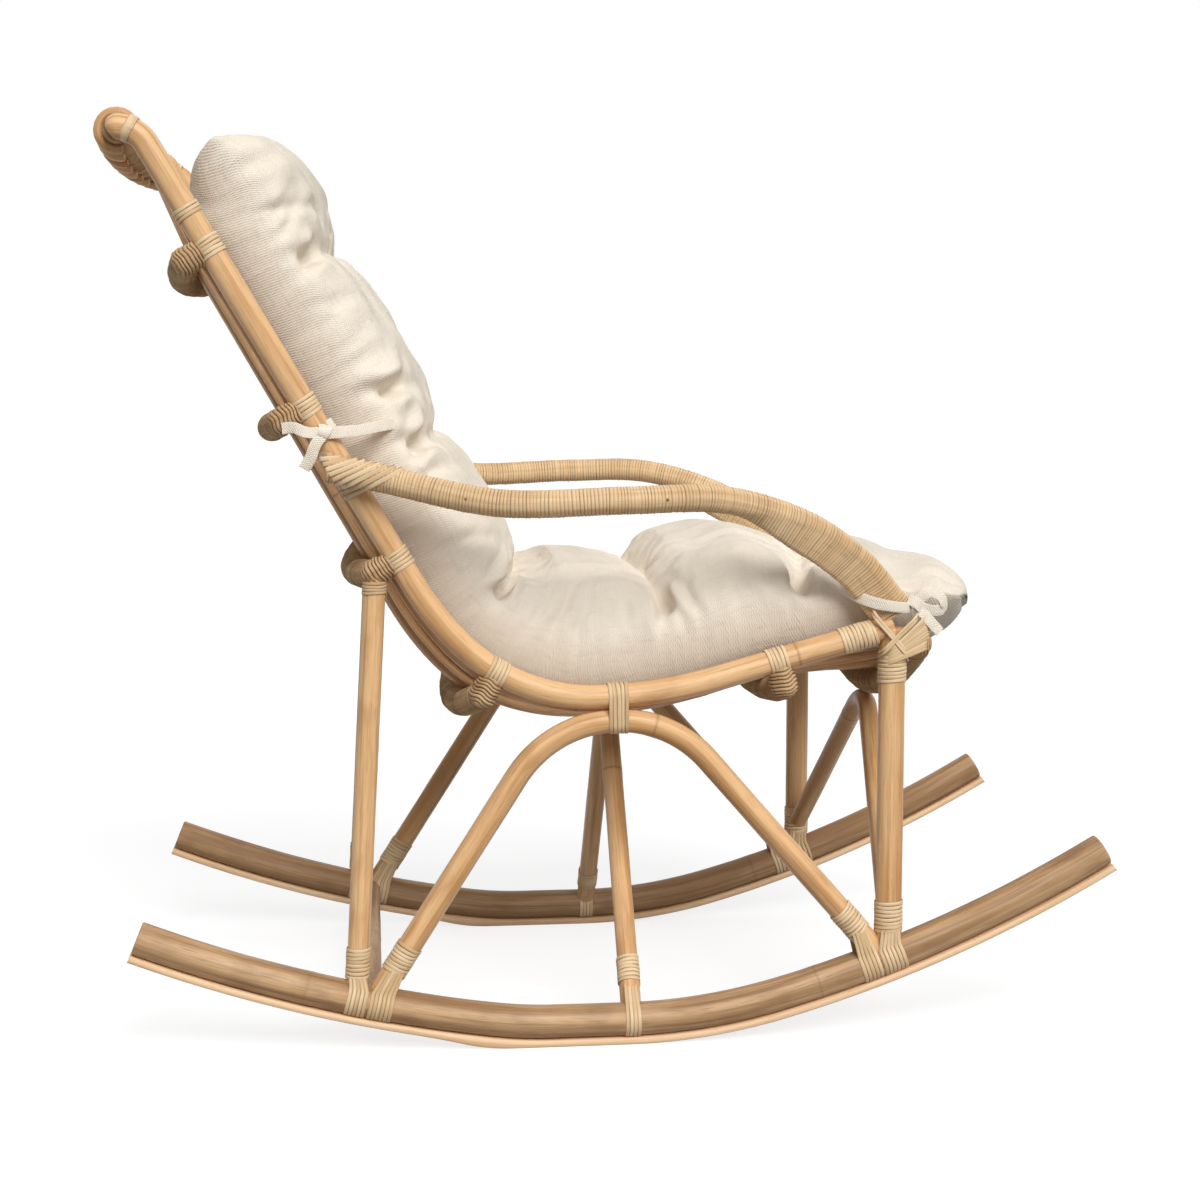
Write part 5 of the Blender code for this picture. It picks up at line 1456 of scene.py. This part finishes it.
class RATTAN_OT_front_corners(bpy.types.Operator):
    """Lash the front posts' heads, with crossed straps up to the arm and the front rail"""

    bl_idname = "rattan.front_corners"
    bl_label = "Front corners"

    def execute(self, context):
        for index, (label, sign) in enumerate(SIDES):
            y = sign * HALF_TRACK
            rounds = [pole_round(FRONT_POST_DIAMETER)]
            origin = np.array((FRONT_POST_X, y, 0.3905))
            shells = [winding_shell(origin, (0.0, 0.0, 1.0), (1.0, 0.0, 0.0), lambda height: rounds, 7, 700 + index)]
            shells += self.straps(sign, 720 + 40 * index)
            make_piece(f"wound_front_corner_lashing_{label}", shells, finish("cane"),
                       [f"front_corner_lashing_{label}"])
        return {"FINISHED"}

    def straps(self, sign, seed):
        """Crossed strips from the lashing up to the arm's end, and a fan of strips to the front rail."""
        face = sign * (HALF_TRACK + FRONT_POST_DIAMETER / 2 + 0.0012)
        shells = []
        for step in range(FAN_STRIPS):
            share = step / (FAN_STRIPS - 1)
            corners = ((FRONT_POST_X - 0.013, face - sign * 0.010, 0.412 + 0.012 * share, -0.7, 0.7 * sign, 0.0),
                       (FRONT_POST_X - 0.004, face, 0.4165 + 0.015 * share, -0.1, sign, 0.0),
                       (FRONT_POST_X + 0.012, face + sign * 0.0002, 0.4225 + 0.0235 * share, 0.1, sign, 0.0),
                       (FRONT_POST_X + 0.028, face - sign * 0.0005, 0.4285 + 0.0325 * share, 0.2, sign, 0.0),
                       (FRONT_POST_X + 0.038, face - sign * 0.007, 0.4315 + 0.0365 * share, 0.7, 0.7 * sign, 0.1),
                       (FRONT_POST_X + 0.041, face - sign * 0.020, 0.4290 + 0.0330 * share, 1.0, 0.1 * sign, 0.1),
                       (FRONT_POST_X + 0.038, face - sign * 0.034, 0.4240 + 0.0280 * share, 1.0, 0.0, 0.1))
            path = smooth_path(corners, 0.004)
            shells.append(strip_shell(path[:, :3], path[:, 3:], seed + step, 0.0036))
        for step in range(CROSS_STRIPS):
            slide = 0.0042 * step
            falling = ((FRONT_POST_X - 0.0255, face - sign * 0.010, 0.474 + slide, -0.5, 0.8 * sign, 0.0),
                       (FRONT_POST_X - 0.022, face + sign * 0.0006, 0.4635 + slide, 0.0, sign, 0.0),
                       (FRONT_POST_X - 0.004, face + sign * 0.0016, 0.4425 + slide, 0.0, sign, 0.0),
                       (FRONT_POST_X + 0.009, face + sign * 0.0014, 0.427 + slide, 0.2, sign, 0.0),
                       (FRONT_POST_X + 0.0165, face - sign * 0.010, 0.417 + slide, 0.9, 0.5 * sign, 0.0))
            rising = ((FRONT_POST_X - 0.0165, face - sign * 0.010, 0.422 + slide, -0.9, 0.5 * sign, 0.0),
                      (FRONT_POST_X - 0.012, face + sign * 0.0008, 0.4275 + slide, -0.2, sign, 0.0),
                      (FRONT_POST_X + 0.004, face + sign * 0.0022, 0.4445 + slide, 0.0, sign, 0.0),
                      (FRONT_POST_X + 0.021, face + sign * 0.0012, 0.461 + slide, 0.0, sign, 0.0),
                      (FRONT_POST_X + 0.026, face - sign * 0.010, 0.468 + slide, 0.6, 0.7 * sign, 0.0))
            for turn, corners in enumerate((falling, rising)):
                path = smooth_path(corners, 0.004)
                shells.append(strip_shell(path[:, :3], path[:, 3:], seed + 20 + 2 * step + turn, 0.0034))
        return shells


def bed_top(place, y):
    """Point (x, z) just above the slats, which the cushion lies on."""
    return set_back(place, slat_depth(place, y) - SLAT_DIAMETER / 2 - CUSHION_LIFT)


def bed_point(place, y):
    """Point and heading of the bed that the cushion lies on, which droops past the front rail."""
    held = min(place, FRONT_PLACE)
    point = bed_top(held, y)
    span = bed_top(min(held + BED_SPAN, FRONT_PLACE), y) - bed_top(held - BED_SPAN, y)
    heading = math.atan2(span[1], span[0])
    if place > FRONT_PLACE:
        sweep = -(place - FRONT_PLACE) / CUSHION_DROOP_RADIUS
        x, z, heading = turn_point(point[0], point[1], heading, CUSHION_DROOP_RADIUS, sweep)
        point = np.array((x, z))
    return point, heading


def rounded(distance, radius):
    """Share of full height at a distance in from a rounded edge."""
    inner = 1 - min(1.0, distance / radius)
    return math.sqrt(max(0.0, 1 - inner ** 2))


def cushion_crown(place, y):
    """Full thickness: the seat is fullest, and the top stays level where the bed rises at the sides."""
    back, seat, front = CUSHION_CROWNS
    shares = [1 / (1 + math.exp(-(place - change) / CUSHION_BLEND)) for change in CUSHION_CHANGES]
    crown = back + (seat - back) * shares[0] + (front - seat) * shares[1]
    held = min(place, FRONT_PLACE)
    return crown - (slat_depth(held, 0.0) - slat_depth(held, y))


def tuft_pull(place, across):
    """Share of the thickness that tufts, and the creases between them, take off the top."""
    sizes = cushion_sizes()
    pull = 0.0
    for row in TUFT_PLACES:
        reach = place - row
        pull = max(pull, sizes.crease_depth * (1 - rounded(abs(reach), sizes.crease_spread)))
        for column in (-TUFT_COLUMN, TUFT_COLUMN):
            aside = (across - column) * CUSHION_HALF_WIDTH
            apart = math.hypot(reach, aside)
            pull = max(pull, sizes.tuft_depth * (1 - rounded(apart, sizes.tuft_spread)))
    return pull


def fold_valleys(places, edge):
    """Folds of the top cloth: start (place, aside), heading, length and depth, drawn out from tufts and seams."""
    rng = np.random.default_rng(17)
    folds = []

    def seam(place):
        return float(np.interp(place, places, edge))

    def add(place, aside, angle, reach, depth):
        folds.append((place, aside, angle, rng.uniform(*reach), rng.uniform(*depth)))

    for row in TUFT_PLACES:
        for column in (-TUFT_COLUMN, TUFT_COLUMN):
            for angle in np.arange(0.0, FULL_TURN, FULL_TURN / 9):
                add(row, column * CUSHION_HALF_WIDTH, angle + rng.uniform(-0.25, 0.25), (0.05, 0.10), (0.5, 1.2))
        for aside in np.arange(-seam(row), seam(row), 0.034):
            for angle in (0.0, math.pi):
                add(row + rng.uniform(-0.008, 0.008), aside + rng.uniform(-0.012, 0.012),
                    angle + rng.uniform(-0.6, 0.6), (0.03, 0.065), (0.25, 0.9))
    for side in (-1.0, 1.0):
        for place in np.arange(places[0] + 0.02, places[-1], 0.030):
            add(place + rng.uniform(-0.012, 0.012), side * seam(place), -side * math.pi / 2 + rng.uniform(-0.7, 0.7),
                (0.05, 0.15), (0.5, 1.6))
        for row in (*TUFT_PLACES, BACK_TIE_PLACE):
            for offset in (-0.022, -0.007, 0.008, 0.024):
                add(row + offset, side * seam(row), -side * (math.pi / 2 + 20 * offset), (0.09, 0.17), (1.6, 3.0))
    for place, angle in ((places[0], 0.0), (places[-1], math.pi)):
        for aside in np.arange(-0.22, 0.23, 0.036):
            add(place, aside + rng.uniform(-0.01, 0.01), angle + rng.uniform(-0.4, 0.4), (0.03, 0.09), (0.3, 0.9))
    return folds


def fold_lifts(places, over):
    """Heights that folds give the top cloth, measured along its own surface."""
    sizes = cushion_sizes()
    steps = np.linalg.norm(np.diff(over, axis=1), axis=2)
    asides = np.concatenate([np.zeros((len(places), 1)), np.cumsum(steps, axis=1)], axis=1)
    edge = asides[:, -1] / 2
    asides -= edge[:, None]
    lifts = np.zeros(asides.shape)
    for start, aside, angle, reach, depth in fold_valleys(places, edge):
        ahead, across = places[:, None] - start, asides - aside
        along = ahead * math.cos(angle) + across * math.sin(angle)
        apart = across * math.cos(angle) - ahead * math.sin(angle)
        apart = apart + 0.25 * sizes.fold_width * np.sin(along / reach * 5.0 + 9.0 * start)
        taper = np.clip((along + 0.012) / 0.018, 0.0, 1.0) * np.clip(1 - along / reach, 0.0, 1.0)
        width = sizes.fold_width * (1 + 0.9 * np.clip(along / reach, 0.0, 1.0))
        lifts += depth * taper * (0.5 * np.exp(-(apart / (1.9 * width)) ** 2) - np.exp(-(apart / width) ** 2))
    from_edge = np.minimum(edge[:, None] - np.abs(asides), (places - places[0])[:, None])
    from_edge = np.minimum(from_edge, (places[-1] - places)[:, None])
    return sizes.fold_height * np.clip(lifts, -3.2, 1.6) * np.clip(from_edge / 0.02, 0.0, 1.0)


def raised(over, lifts):
    """A grid of points moved out along its normals."""
    normals = np.cross(np.gradient(over, axis=1), np.gradient(over, axis=0))
    normals /= np.maximum(np.linalg.norm(normals, axis=2, keepdims=True), 1e-9)
    if normals[len(over) // 2, over.shape[1] // 2, 2] < 0:
        normals = -normals
    return over + lifts[..., None] * normals


CUSHION_ROWS = 188
TOP_COLUMNS = 84
UNDER_COLUMNS = 42


def cushion_shell():
    """The cushion before it is filled: a pillow whose top and under sides meet in a seam."""
    sizes = cushion_sizes()
    last = FRONT_PLACE + CUSHION_OVERHANG
    places = CUSHION_TOP_PLACE + (last - CUSHION_TOP_PLACE) * np.linspace(0.0, 1.0, CUSHION_ROWS + 1)
    even = np.linspace(-1.0, 1.0, TOP_COLUMNS + 1)
    over_across = 0.4 * even + 0.6 * np.sin(even * math.pi / 2)
    columns = [(across, True) for across in over_across]
    columns += [(across, False) for across in np.linspace(1.0, -1.0, UNDER_COLUMNS + 1)[1:-1]]
    rings = np.empty((len(places), len(columns), 3))
    held = np.zeros(rings.shape[:2])
    for row, place in enumerate(places):
        end = min(place - CUSHION_TOP_PLACE, last - place)
        middle_share = math.sqrt(max(0.0, math.sin(math.pi * row / CUSHION_ROWS)))
        for column, (across, over) in enumerate(columns):
            y = across * (CUSHION_HALF_WIDTH - sizes.pull_in * middle_share)
            point, heading = bed_point(place, y)
            side = (1 - abs(across)) * CUSHION_HALF_WIDTH
            share = rounded(end, CUSHION_END_ROUND) * rounded(side, CUSHION_SIDE_ROUND)
            crown = cushion_crown(place, y)
            height = crown * sizes.seam_height * (1 - share)
            if over:
                rounding = 1 - CUSHION_CROWN_SHARE * across ** 2
                height += crown * rounding * share * (1 - tuft_pull(place, across))
            rings[row, column] = (point[0] - height * math.sin(heading), y, point[1] + height * math.cos(heading))
            held[row, column] = hold_of(place, across, over, end, side)
    over = rings[:, :TOP_COLUMNS + 1]
    rings[:, :TOP_COLUMNS + 1] = raised(over, fold_lifts(places, over))
    reach = places - places[0]
    shape = rings.shape[:2]
    return dict(rings=rings, reach=reach, around=3 * CUSHION_HALF_WIDTH, tone=held, dark=np.zeros(shape), lie=rings)


def hold_of(place, across, over, end, side):
    """How firmly a point of the cushion is held: fully at tufts and where it lies on the slats."""
    if over:
        nearest = min(math.hypot(place - row, (abs(across) - TUFT_COLUMN) * CUSHION_HALF_WIDTH) for row in TUFT_PLACES)
        return 1.0 if nearest < 0.007 else 0.0
    return 1.0 if min(end, side) > 0.05 else 0.0


BROAD_ROUNDS = 90
FINE_ROUNDS = 3
WRINKLE_SHARE = 0.40


def broad_part(move, edges, rounds):
    """The slow part of a movement: each point's mean with its neighbours, many times over."""
    ends = np.concatenate([edges[:, 0], edges[:, 1]])
    others = np.concatenate([edges[:, 1], edges[:, 0]])
    counts = np.bincount(ends, minlength=len(move)) + 1.0
    for _ in range(rounds):
        sums = [np.bincount(ends, weights=move[others, axis], minlength=len(move)) for axis in range(3)]
        move = (move + np.stack(sums, axis=1)) / counts[:, None]
    return move


class RATTAN_OT_cushion(bpy.types.Operator):
    """Sew, fill and tuft the long cushion"""

    bl_idname = "rattan.cushion"
    bl_label = "Cushion"

    def execute(self, context):
        obj = roll_grid("tufted_cushion", cushion_shell())
        self.fill(context, obj)
        bpy.ops.object.select_all(action="DESELECT")
        obj.select_set(True)
        context.view_layer.objects.active = obj
        finer = obj.modifiers.new("finer", "SUBSURF")
        finer.levels = 1
        finer.render_levels = 1
        bpy.ops.object.modifier_apply(modifier=finer.name)
        bpy.ops.object.shade_smooth()
        obj.data.materials.clear()
        obj.data.materials.append(finish("cotton"))
        dress(obj, ["cushion"])
        return {"FINISHED"}

    def fill(self, context, obj):
        """Fills the cloth by pressure and keeps the wrinkles of its spare cloth, not its change of size."""
        sizes = cushion_sizes()
        mesh = obj.data
        count = len(mesh.vertices)
        hold = np.empty(count, np.float32)
        mesh.attributes["tone"].data.foreach_get("value", hold)
        group = obj.vertex_groups.new(name="held")
        for index in np.flatnonzero(hold > 0.5):
            group.add([int(index)], 1.0, "REPLACE")
        before = np.empty(3 * count, np.float32)
        mesh.vertices.foreach_get("co", before)
        cloth = obj.modifiers.new("filling", "CLOTH")
        cloth.settings.quality = 5
        cloth.settings.mass = 0.25
        cloth.settings.tension_stiffness = 18.0
        cloth.settings.compression_stiffness = 12.0
        cloth.settings.shear_stiffness = 6.0
        cloth.settings.bending_stiffness = 0.25
        cloth.settings.use_pressure = True
        cloth.settings.uniform_pressure_force = sizes.pressure
        cloth.settings.shrink_min = -sizes.loose_cloth
        cloth.settings.vertex_group_mass = group.name
        cloth.settings.effector_weights.gravity = 0.0
        cloth.point_cache.frame_start = 1
        cloth.point_cache.frame_end = 20
        for step in range(1, 21):
            context.scene.frame_set(step)
        filled = obj.evaluated_get(context.evaluated_depsgraph_get())
        after = np.empty(3 * count, np.float32)
        filled.data.vertices.foreach_get("co", after)
        obj.modifiers.remove(cloth)
        context.scene.frame_set(1)
        edges = np.empty(2 * len(mesh.edges), np.int32)
        mesh.edges.foreach_get("vertices", edges)
        move = (after - before).reshape(-1, 3).astype(float)
        move -= broad_part(move, edges.reshape(-1, 2), BROAD_ROUNDS)
        move = WRINKLE_SHARE * broad_part(move, edges.reshape(-1, 2), FINE_ROUNDS)
        size = np.linalg.norm(move, axis=1, keepdims=True)
        move *= np.minimum(1.0, sizes.most_move / np.maximum(size, 1e-9))
        mesh.vertices.foreach_set("co", (before.reshape(-1, 3) + move).astype(np.float32).ravel())
        mesh.update()


def tape_shell(corners, width, seed):
    """A strip of cotton tape through corners, each a point and the way its face looks."""
    path = smooth_path(corners, 0.004)
    return strip_shell(path[:, :3], path[:, 3:], seed, width, 0.0009, 0.0, TAPE_ACROSS, TAPE_OUT)


class RATTAN_OT_ties(bpy.types.Operator):
    """Tie the cushion to the side poles and to the arms' front ends"""

    bl_idname = "rattan.ties"
    bl_label = "Ties"

    def execute(self, context):
        for index, (label, sign) in enumerate(SIDES):
            self.tie(f"knotted_back_tie_{label}", self.back_tapes(sign), 800 + 10 * index, f"back_tie_{label}",
                     f"side_pole_{label}")
            self.tie(f"knotted_front_tie_{label}", self.front_tapes(sign), 820 + 10 * index, f"front_tie_{label}",
                     f"arm_{label}")
        return {"FINISHED"}

    def tie(self, name, tapes, seed, tie_node, held_by):
        width = 0.012
        shells = [tape_shell(corners, width, seed + step) for step, corners in enumerate(tapes)]
        piece = make_piece(name, shells, finish("cotton"), [tie_node])

    def back_tapes(self, sign):
        """Tape from the cushion's side to the side pole, round it, and two tails."""
        x, z, heading = side_point(BACK_TIE_PLACE)
        outer = HALF_TRACK + SIDE_POLE_DIAMETER / 2 + 0.0015
        around = SIDE_POLE_DIAMETER / 2 + 0.0015
        ahead = np.array((-math.sin(heading), math.cos(heading)))

        def row(dx, y, dz, out):
            return (x + dx, sign * y, z + dz, out[0], sign * out[1], out[2])

        def on_pole(share, y, out_y, drop):
            return row(share * around * ahead[0], y, share * around * ahead[1] + drop,
                       (share * ahead[0], out_y, share * ahead[1]))

        lead = [row(0.086, HALF_TRACK - 0.034, 0.010, (0.3, 1.0, 0.2)), row(0.068, HALF_TRACK - 0.015, 0.008, (0.2, 1.0, 0.1)),
                row(0.040, HALF_TRACK + 0.006, 0.003, (0.1, 1.0, 0.2)), row(0.016, outer + 0.001, 0.001, (0.0, 1.0, 0.1)),
                row(0.002, outer + 0.001, 0.0, (0.0, 1.0, 0.0))]
        loop = [on_pole(0.0, outer, 1.0, 0.003), on_pole(1.0, HALF_TRACK, 0.0, 0.003),
                on_pole(0.0, HALF_TRACK - around, -1.0, 0.002), on_pole(-1.0, HALF_TRACK, 0.0, 0.001),
                on_pole(0.0, outer, 1.0, 0.0)]
        knot = [row(0.006, outer, 0.008, (0.0, 1.0, 0.4)), row(0.004, outer + 0.0055, 0.003, (0.0, 1.0, 0.2)),
                row(0.001, outer + 0.0055, -0.003, (0.0, 1.0, -0.2)), row(-0.001, outer, -0.008, (0.0, 1.0, -0.4))]
        tail_back = [row(0.002, outer + 0.004, 0.001, (0.0, 1.0, 0.0)), row(-0.014, outer + 0.006, 0.001, (0.0, 1.0, 0.3)),
                     row(-0.028, outer + 0.005, 0.006, (0.1, 1.0, -0.2)), row(-0.040, outer + 0.002, 0.005, (0.0, 1.0, 0.2))]
        tail_down = [row(0.002, outer + 0.004, -0.001, (0.0, 1.0, 0.0)), row(-0.006, outer + 0.007, -0.012, (0.3, 1.0, 0.1)),
                     row(-0.011, outer + 0.006, -0.025, (0.1, 1.0, 0.0)), row(-0.018, outer + 0.004, -0.037, (0.3, 1.0, 0.0))]
        return lead, loop, knot, tail_back, tail_down

    def front_tapes(self, sign):
        """Tape from the cushion round the arm's front end, its knot, a loop and a tail."""
        y = sign * HALF_TRACK

        def row(ahead, aside, z, out):
            return (FRONT_POST_X + ahead, y + sign * aside, z, out[0], sign * out[1], out[2])

        round_arm = [row(-0.052, -0.020, 0.494, (-0.5, 0.6, 0.3)), row(-0.040, 0.006, 0.487, (-0.5, 0.9, 0.0)),
                     row(-0.022, 0.0165, 0.481, (-0.2, 1.0, -0.1)), row(0.000, 0.0175, 0.477, (0.0, 1.0, -0.1)),
                     row(0.014, 0.013, 0.476, (0.5, 0.8, 0.0)), row(0.0195, 0.002, 0.478, (1.0, 0.2, 0.0))]
        knot = [row(0.014, 0.010, 0.484, (0.3, 1.0, 0.2)), row(0.021, 0.015, 0.482, (0.3, 1.0, 0.0)),
                row(0.027, 0.013, 0.476, (0.6, 0.8, 0.0)), row(0.029, 0.005, 0.470, (0.9, 0.3, 0.0))]
        bow = [row(0.022, 0.010, 0.480, (0.2, 1.0, 0.1)), row(0.036, 0.012, 0.492, (0.0, 1.0, 0.3)),
               row(0.050, 0.011, 0.487, (0.3, 1.0, 0.2)), row(0.054, 0.009, 0.474, (0.6, 0.8, 0.0)),
               row(0.040, 0.011, 0.472, (0.0, 1.0, -0.2)), row(0.024, 0.012, 0.477, (0.0, 1.0, 0.0))]
        tail = [row(0.024, 0.011, 0.477, (0.2, 1.0, 0.0)), row(0.036, 0.013, 0.463, (0.2, 1.0, 0.1)),
                row(0.050, 0.010, 0.448, (0.3, 1.0, 0.1))]
        return round_arm, knot, bow, tail


class RATTAN_OT_stage(bpy.types.Operator):
    """Set the floor, the soft light and the camera"""

    bl_idname = "rattan.stage"
    bl_label = "Stage"

    def execute(self, context):
        settings = context.scene.rattan_stage
        context.scene.view_settings.view_transform = "Standard"
        self.floor()
        self.sky(context, settings.sky)
        self.key(settings.key)
        self.camera(context, settings)
        return {"FINISHED"}

    def floor(self):
        bpy.ops.object.select_all(action="DESELECT")
        bpy.ops.mesh.primitive_grid_add(x_subdivisions=4, y_subdivisions=4, size=60.0)
        floor = bpy.context.active_object
        floor.name = "studio_floor"
        material, tree, shader = new_material("studio_floor_white")
        shader.inputs["Base Color"].default_value = opaque(finish_colours().floor)
        shader.inputs["Roughness"].default_value = 1.0
        shader.inputs["Specular IOR Level"].default_value = 0.0
        path = node(tree, "ShaderNodeLightPath")
        seen = maths(tree, "MAXIMUM", path.outputs["Is Camera Ray"], path.outputs["Is Glossy Ray"])
        seen = maths(tree, "MAXIMUM", seen, path.outputs["Is Transmission Ray"])
        glow = node(tree, "ShaderNodeEmission", {"Color": (1.0, 1.0, 1.0, 1.0),
                                                 "Strength": maths(tree, "MULTIPLY", seen, 0.78)})
        total = node(tree, "ShaderNodeAddShader")
        tree.links.new(shader.outputs[0], total.inputs[0])
        tree.links.new(glow.outputs[0], total.inputs[1])
        tree.links.new(total.outputs[0], tree.nodes["Material Output"].inputs["Surface"])
        floor.data.materials.append(material)

    def sky(self, context, strength):
        world = bpy.data.worlds.new("studio_sky")
        context.scene.world = world
        world.use_nodes = True
        tree = world.node_tree
        path = node(tree, "ShaderNodeLightPath")
        seen = maths(tree, "MAXIMUM", path.outputs["Is Camera Ray"], path.outputs["Is Glossy Ray"])
        seen = maths(tree, "MAXIMUM", seen, path.outputs["Is Transmission Ray"])
        way = node(tree, "ShaderNodeTexCoord").outputs["Generated"]
        up = node(tree, "ShaderNodeSeparateXYZ", {"Vector": way}).outputs["Z"]
        soft = spread(tree, up, 0.0, 1.0, 0.45 * strength, strength)
        level = node(tree, "ShaderNodeMix", {0: seen, 2: soft, 3: 1.0}).outputs[0]
        background = tree.nodes["Background"]
        background.inputs["Color"].default_value = (1.0, 1.0, 1.0, 1.0)
        tree.links.new(level, background.inputs["Strength"])

    def key(self, strength):
        bpy.ops.object.select_all(action="DESELECT")
        bpy.ops.object.light_add(type="SUN", location=(-1.5, -2.0, 3.0))
        lamp = bpy.context.active_object
        lamp.name = "soft_key"
        lamp.data.energy = strength
        lamp.data.angle = math.radians(35.0)
        lamp.rotation_euler = (math.radians(51.0), 0.0, math.radians(14.0))

    def camera(self, context, settings):
        bpy.ops.object.camera_add(location=settings.camera_place)
        camera = bpy.context.active_object
        camera.name = "photo_camera"
        camera.rotation_euler = (math.pi / 2 - settings.camera_pitch, 0.0, -settings.camera_yaw)
        camera.data.sensor_width = 36.0
        camera.data.lens = settings.lens
        context.scene.camera = camera


OPERATORS = (RATTAN_OT_rockers, RATTAN_OT_side_poles, RATTAN_OT_legs, RATTAN_OT_slats, RATTAN_OT_rails,
             RATTAN_OT_arms, RATTAN_OT_foot_lashings, RATTAN_OT_upper_lashings, RATTAN_OT_front_corners,
             RATTAN_OT_cushion, RATTAN_OT_ties, RATTAN_OT_stage)


class RATTAN_PT_chair(bpy.types.Panel):
    """Lists the steps that make the chair"""

    bl_idname = "RATTAN_PT_chair"
    bl_label = "Rattan rocking chair"
    bl_space_type = "VIEW_3D"
    bl_region_type = "UI"
    bl_category = "Rattan"

    def draw(self, context):
        for operator in OPERATORS:
            self.layout.operator(operator.bl_idname)
        for group in ("rattan_cane", "rattan_cushion", "rattan_colours", "rattan_stage"):
            settings = getattr(context.scene, group)
            box = self.layout.box()
            for key in settings.__annotations__:
                box.prop(settings, key)


GROUPS = {"rattan_cane": CaneSizes, "rattan_cushion": CushionSizes, "rattan_colours": FinishColours,
          "rattan_stage": StageSizes}


def register():
    for cls in (*GROUPS.values(), *OPERATORS, RATTAN_PT_chair):
        bpy.utils.register_class(cls)
    for key, group in GROUPS.items():
        setattr(bpy.types.Scene, key, bpy.props.PointerProperty(type=group))


def unregister():
    for key in GROUPS:
        delattr(bpy.types.Scene, key)
    for cls in (RATTAN_PT_chair, *reversed(OPERATORS), *reversed(GROUPS.values())):
        bpy.utils.unregister_class(cls)


def main():
    """Makes the chair and its stage."""
    register()
    bpy.ops.rattan.rockers()
    bpy.ops.rattan.side_poles()
    bpy.ops.rattan.legs()
    bpy.ops.rattan.slats()
    bpy.ops.rattan.rails()
    bpy.ops.rattan.arms()
    bpy.ops.rattan.foot_lashings()
    bpy.ops.rattan.upper_lashings()
    bpy.ops.rattan.front_corners()
    bpy.ops.rattan.cushion()
    bpy.ops.rattan.ties()
    bpy.ops.rattan.stage()


if __name__ == "__main__":
    main()
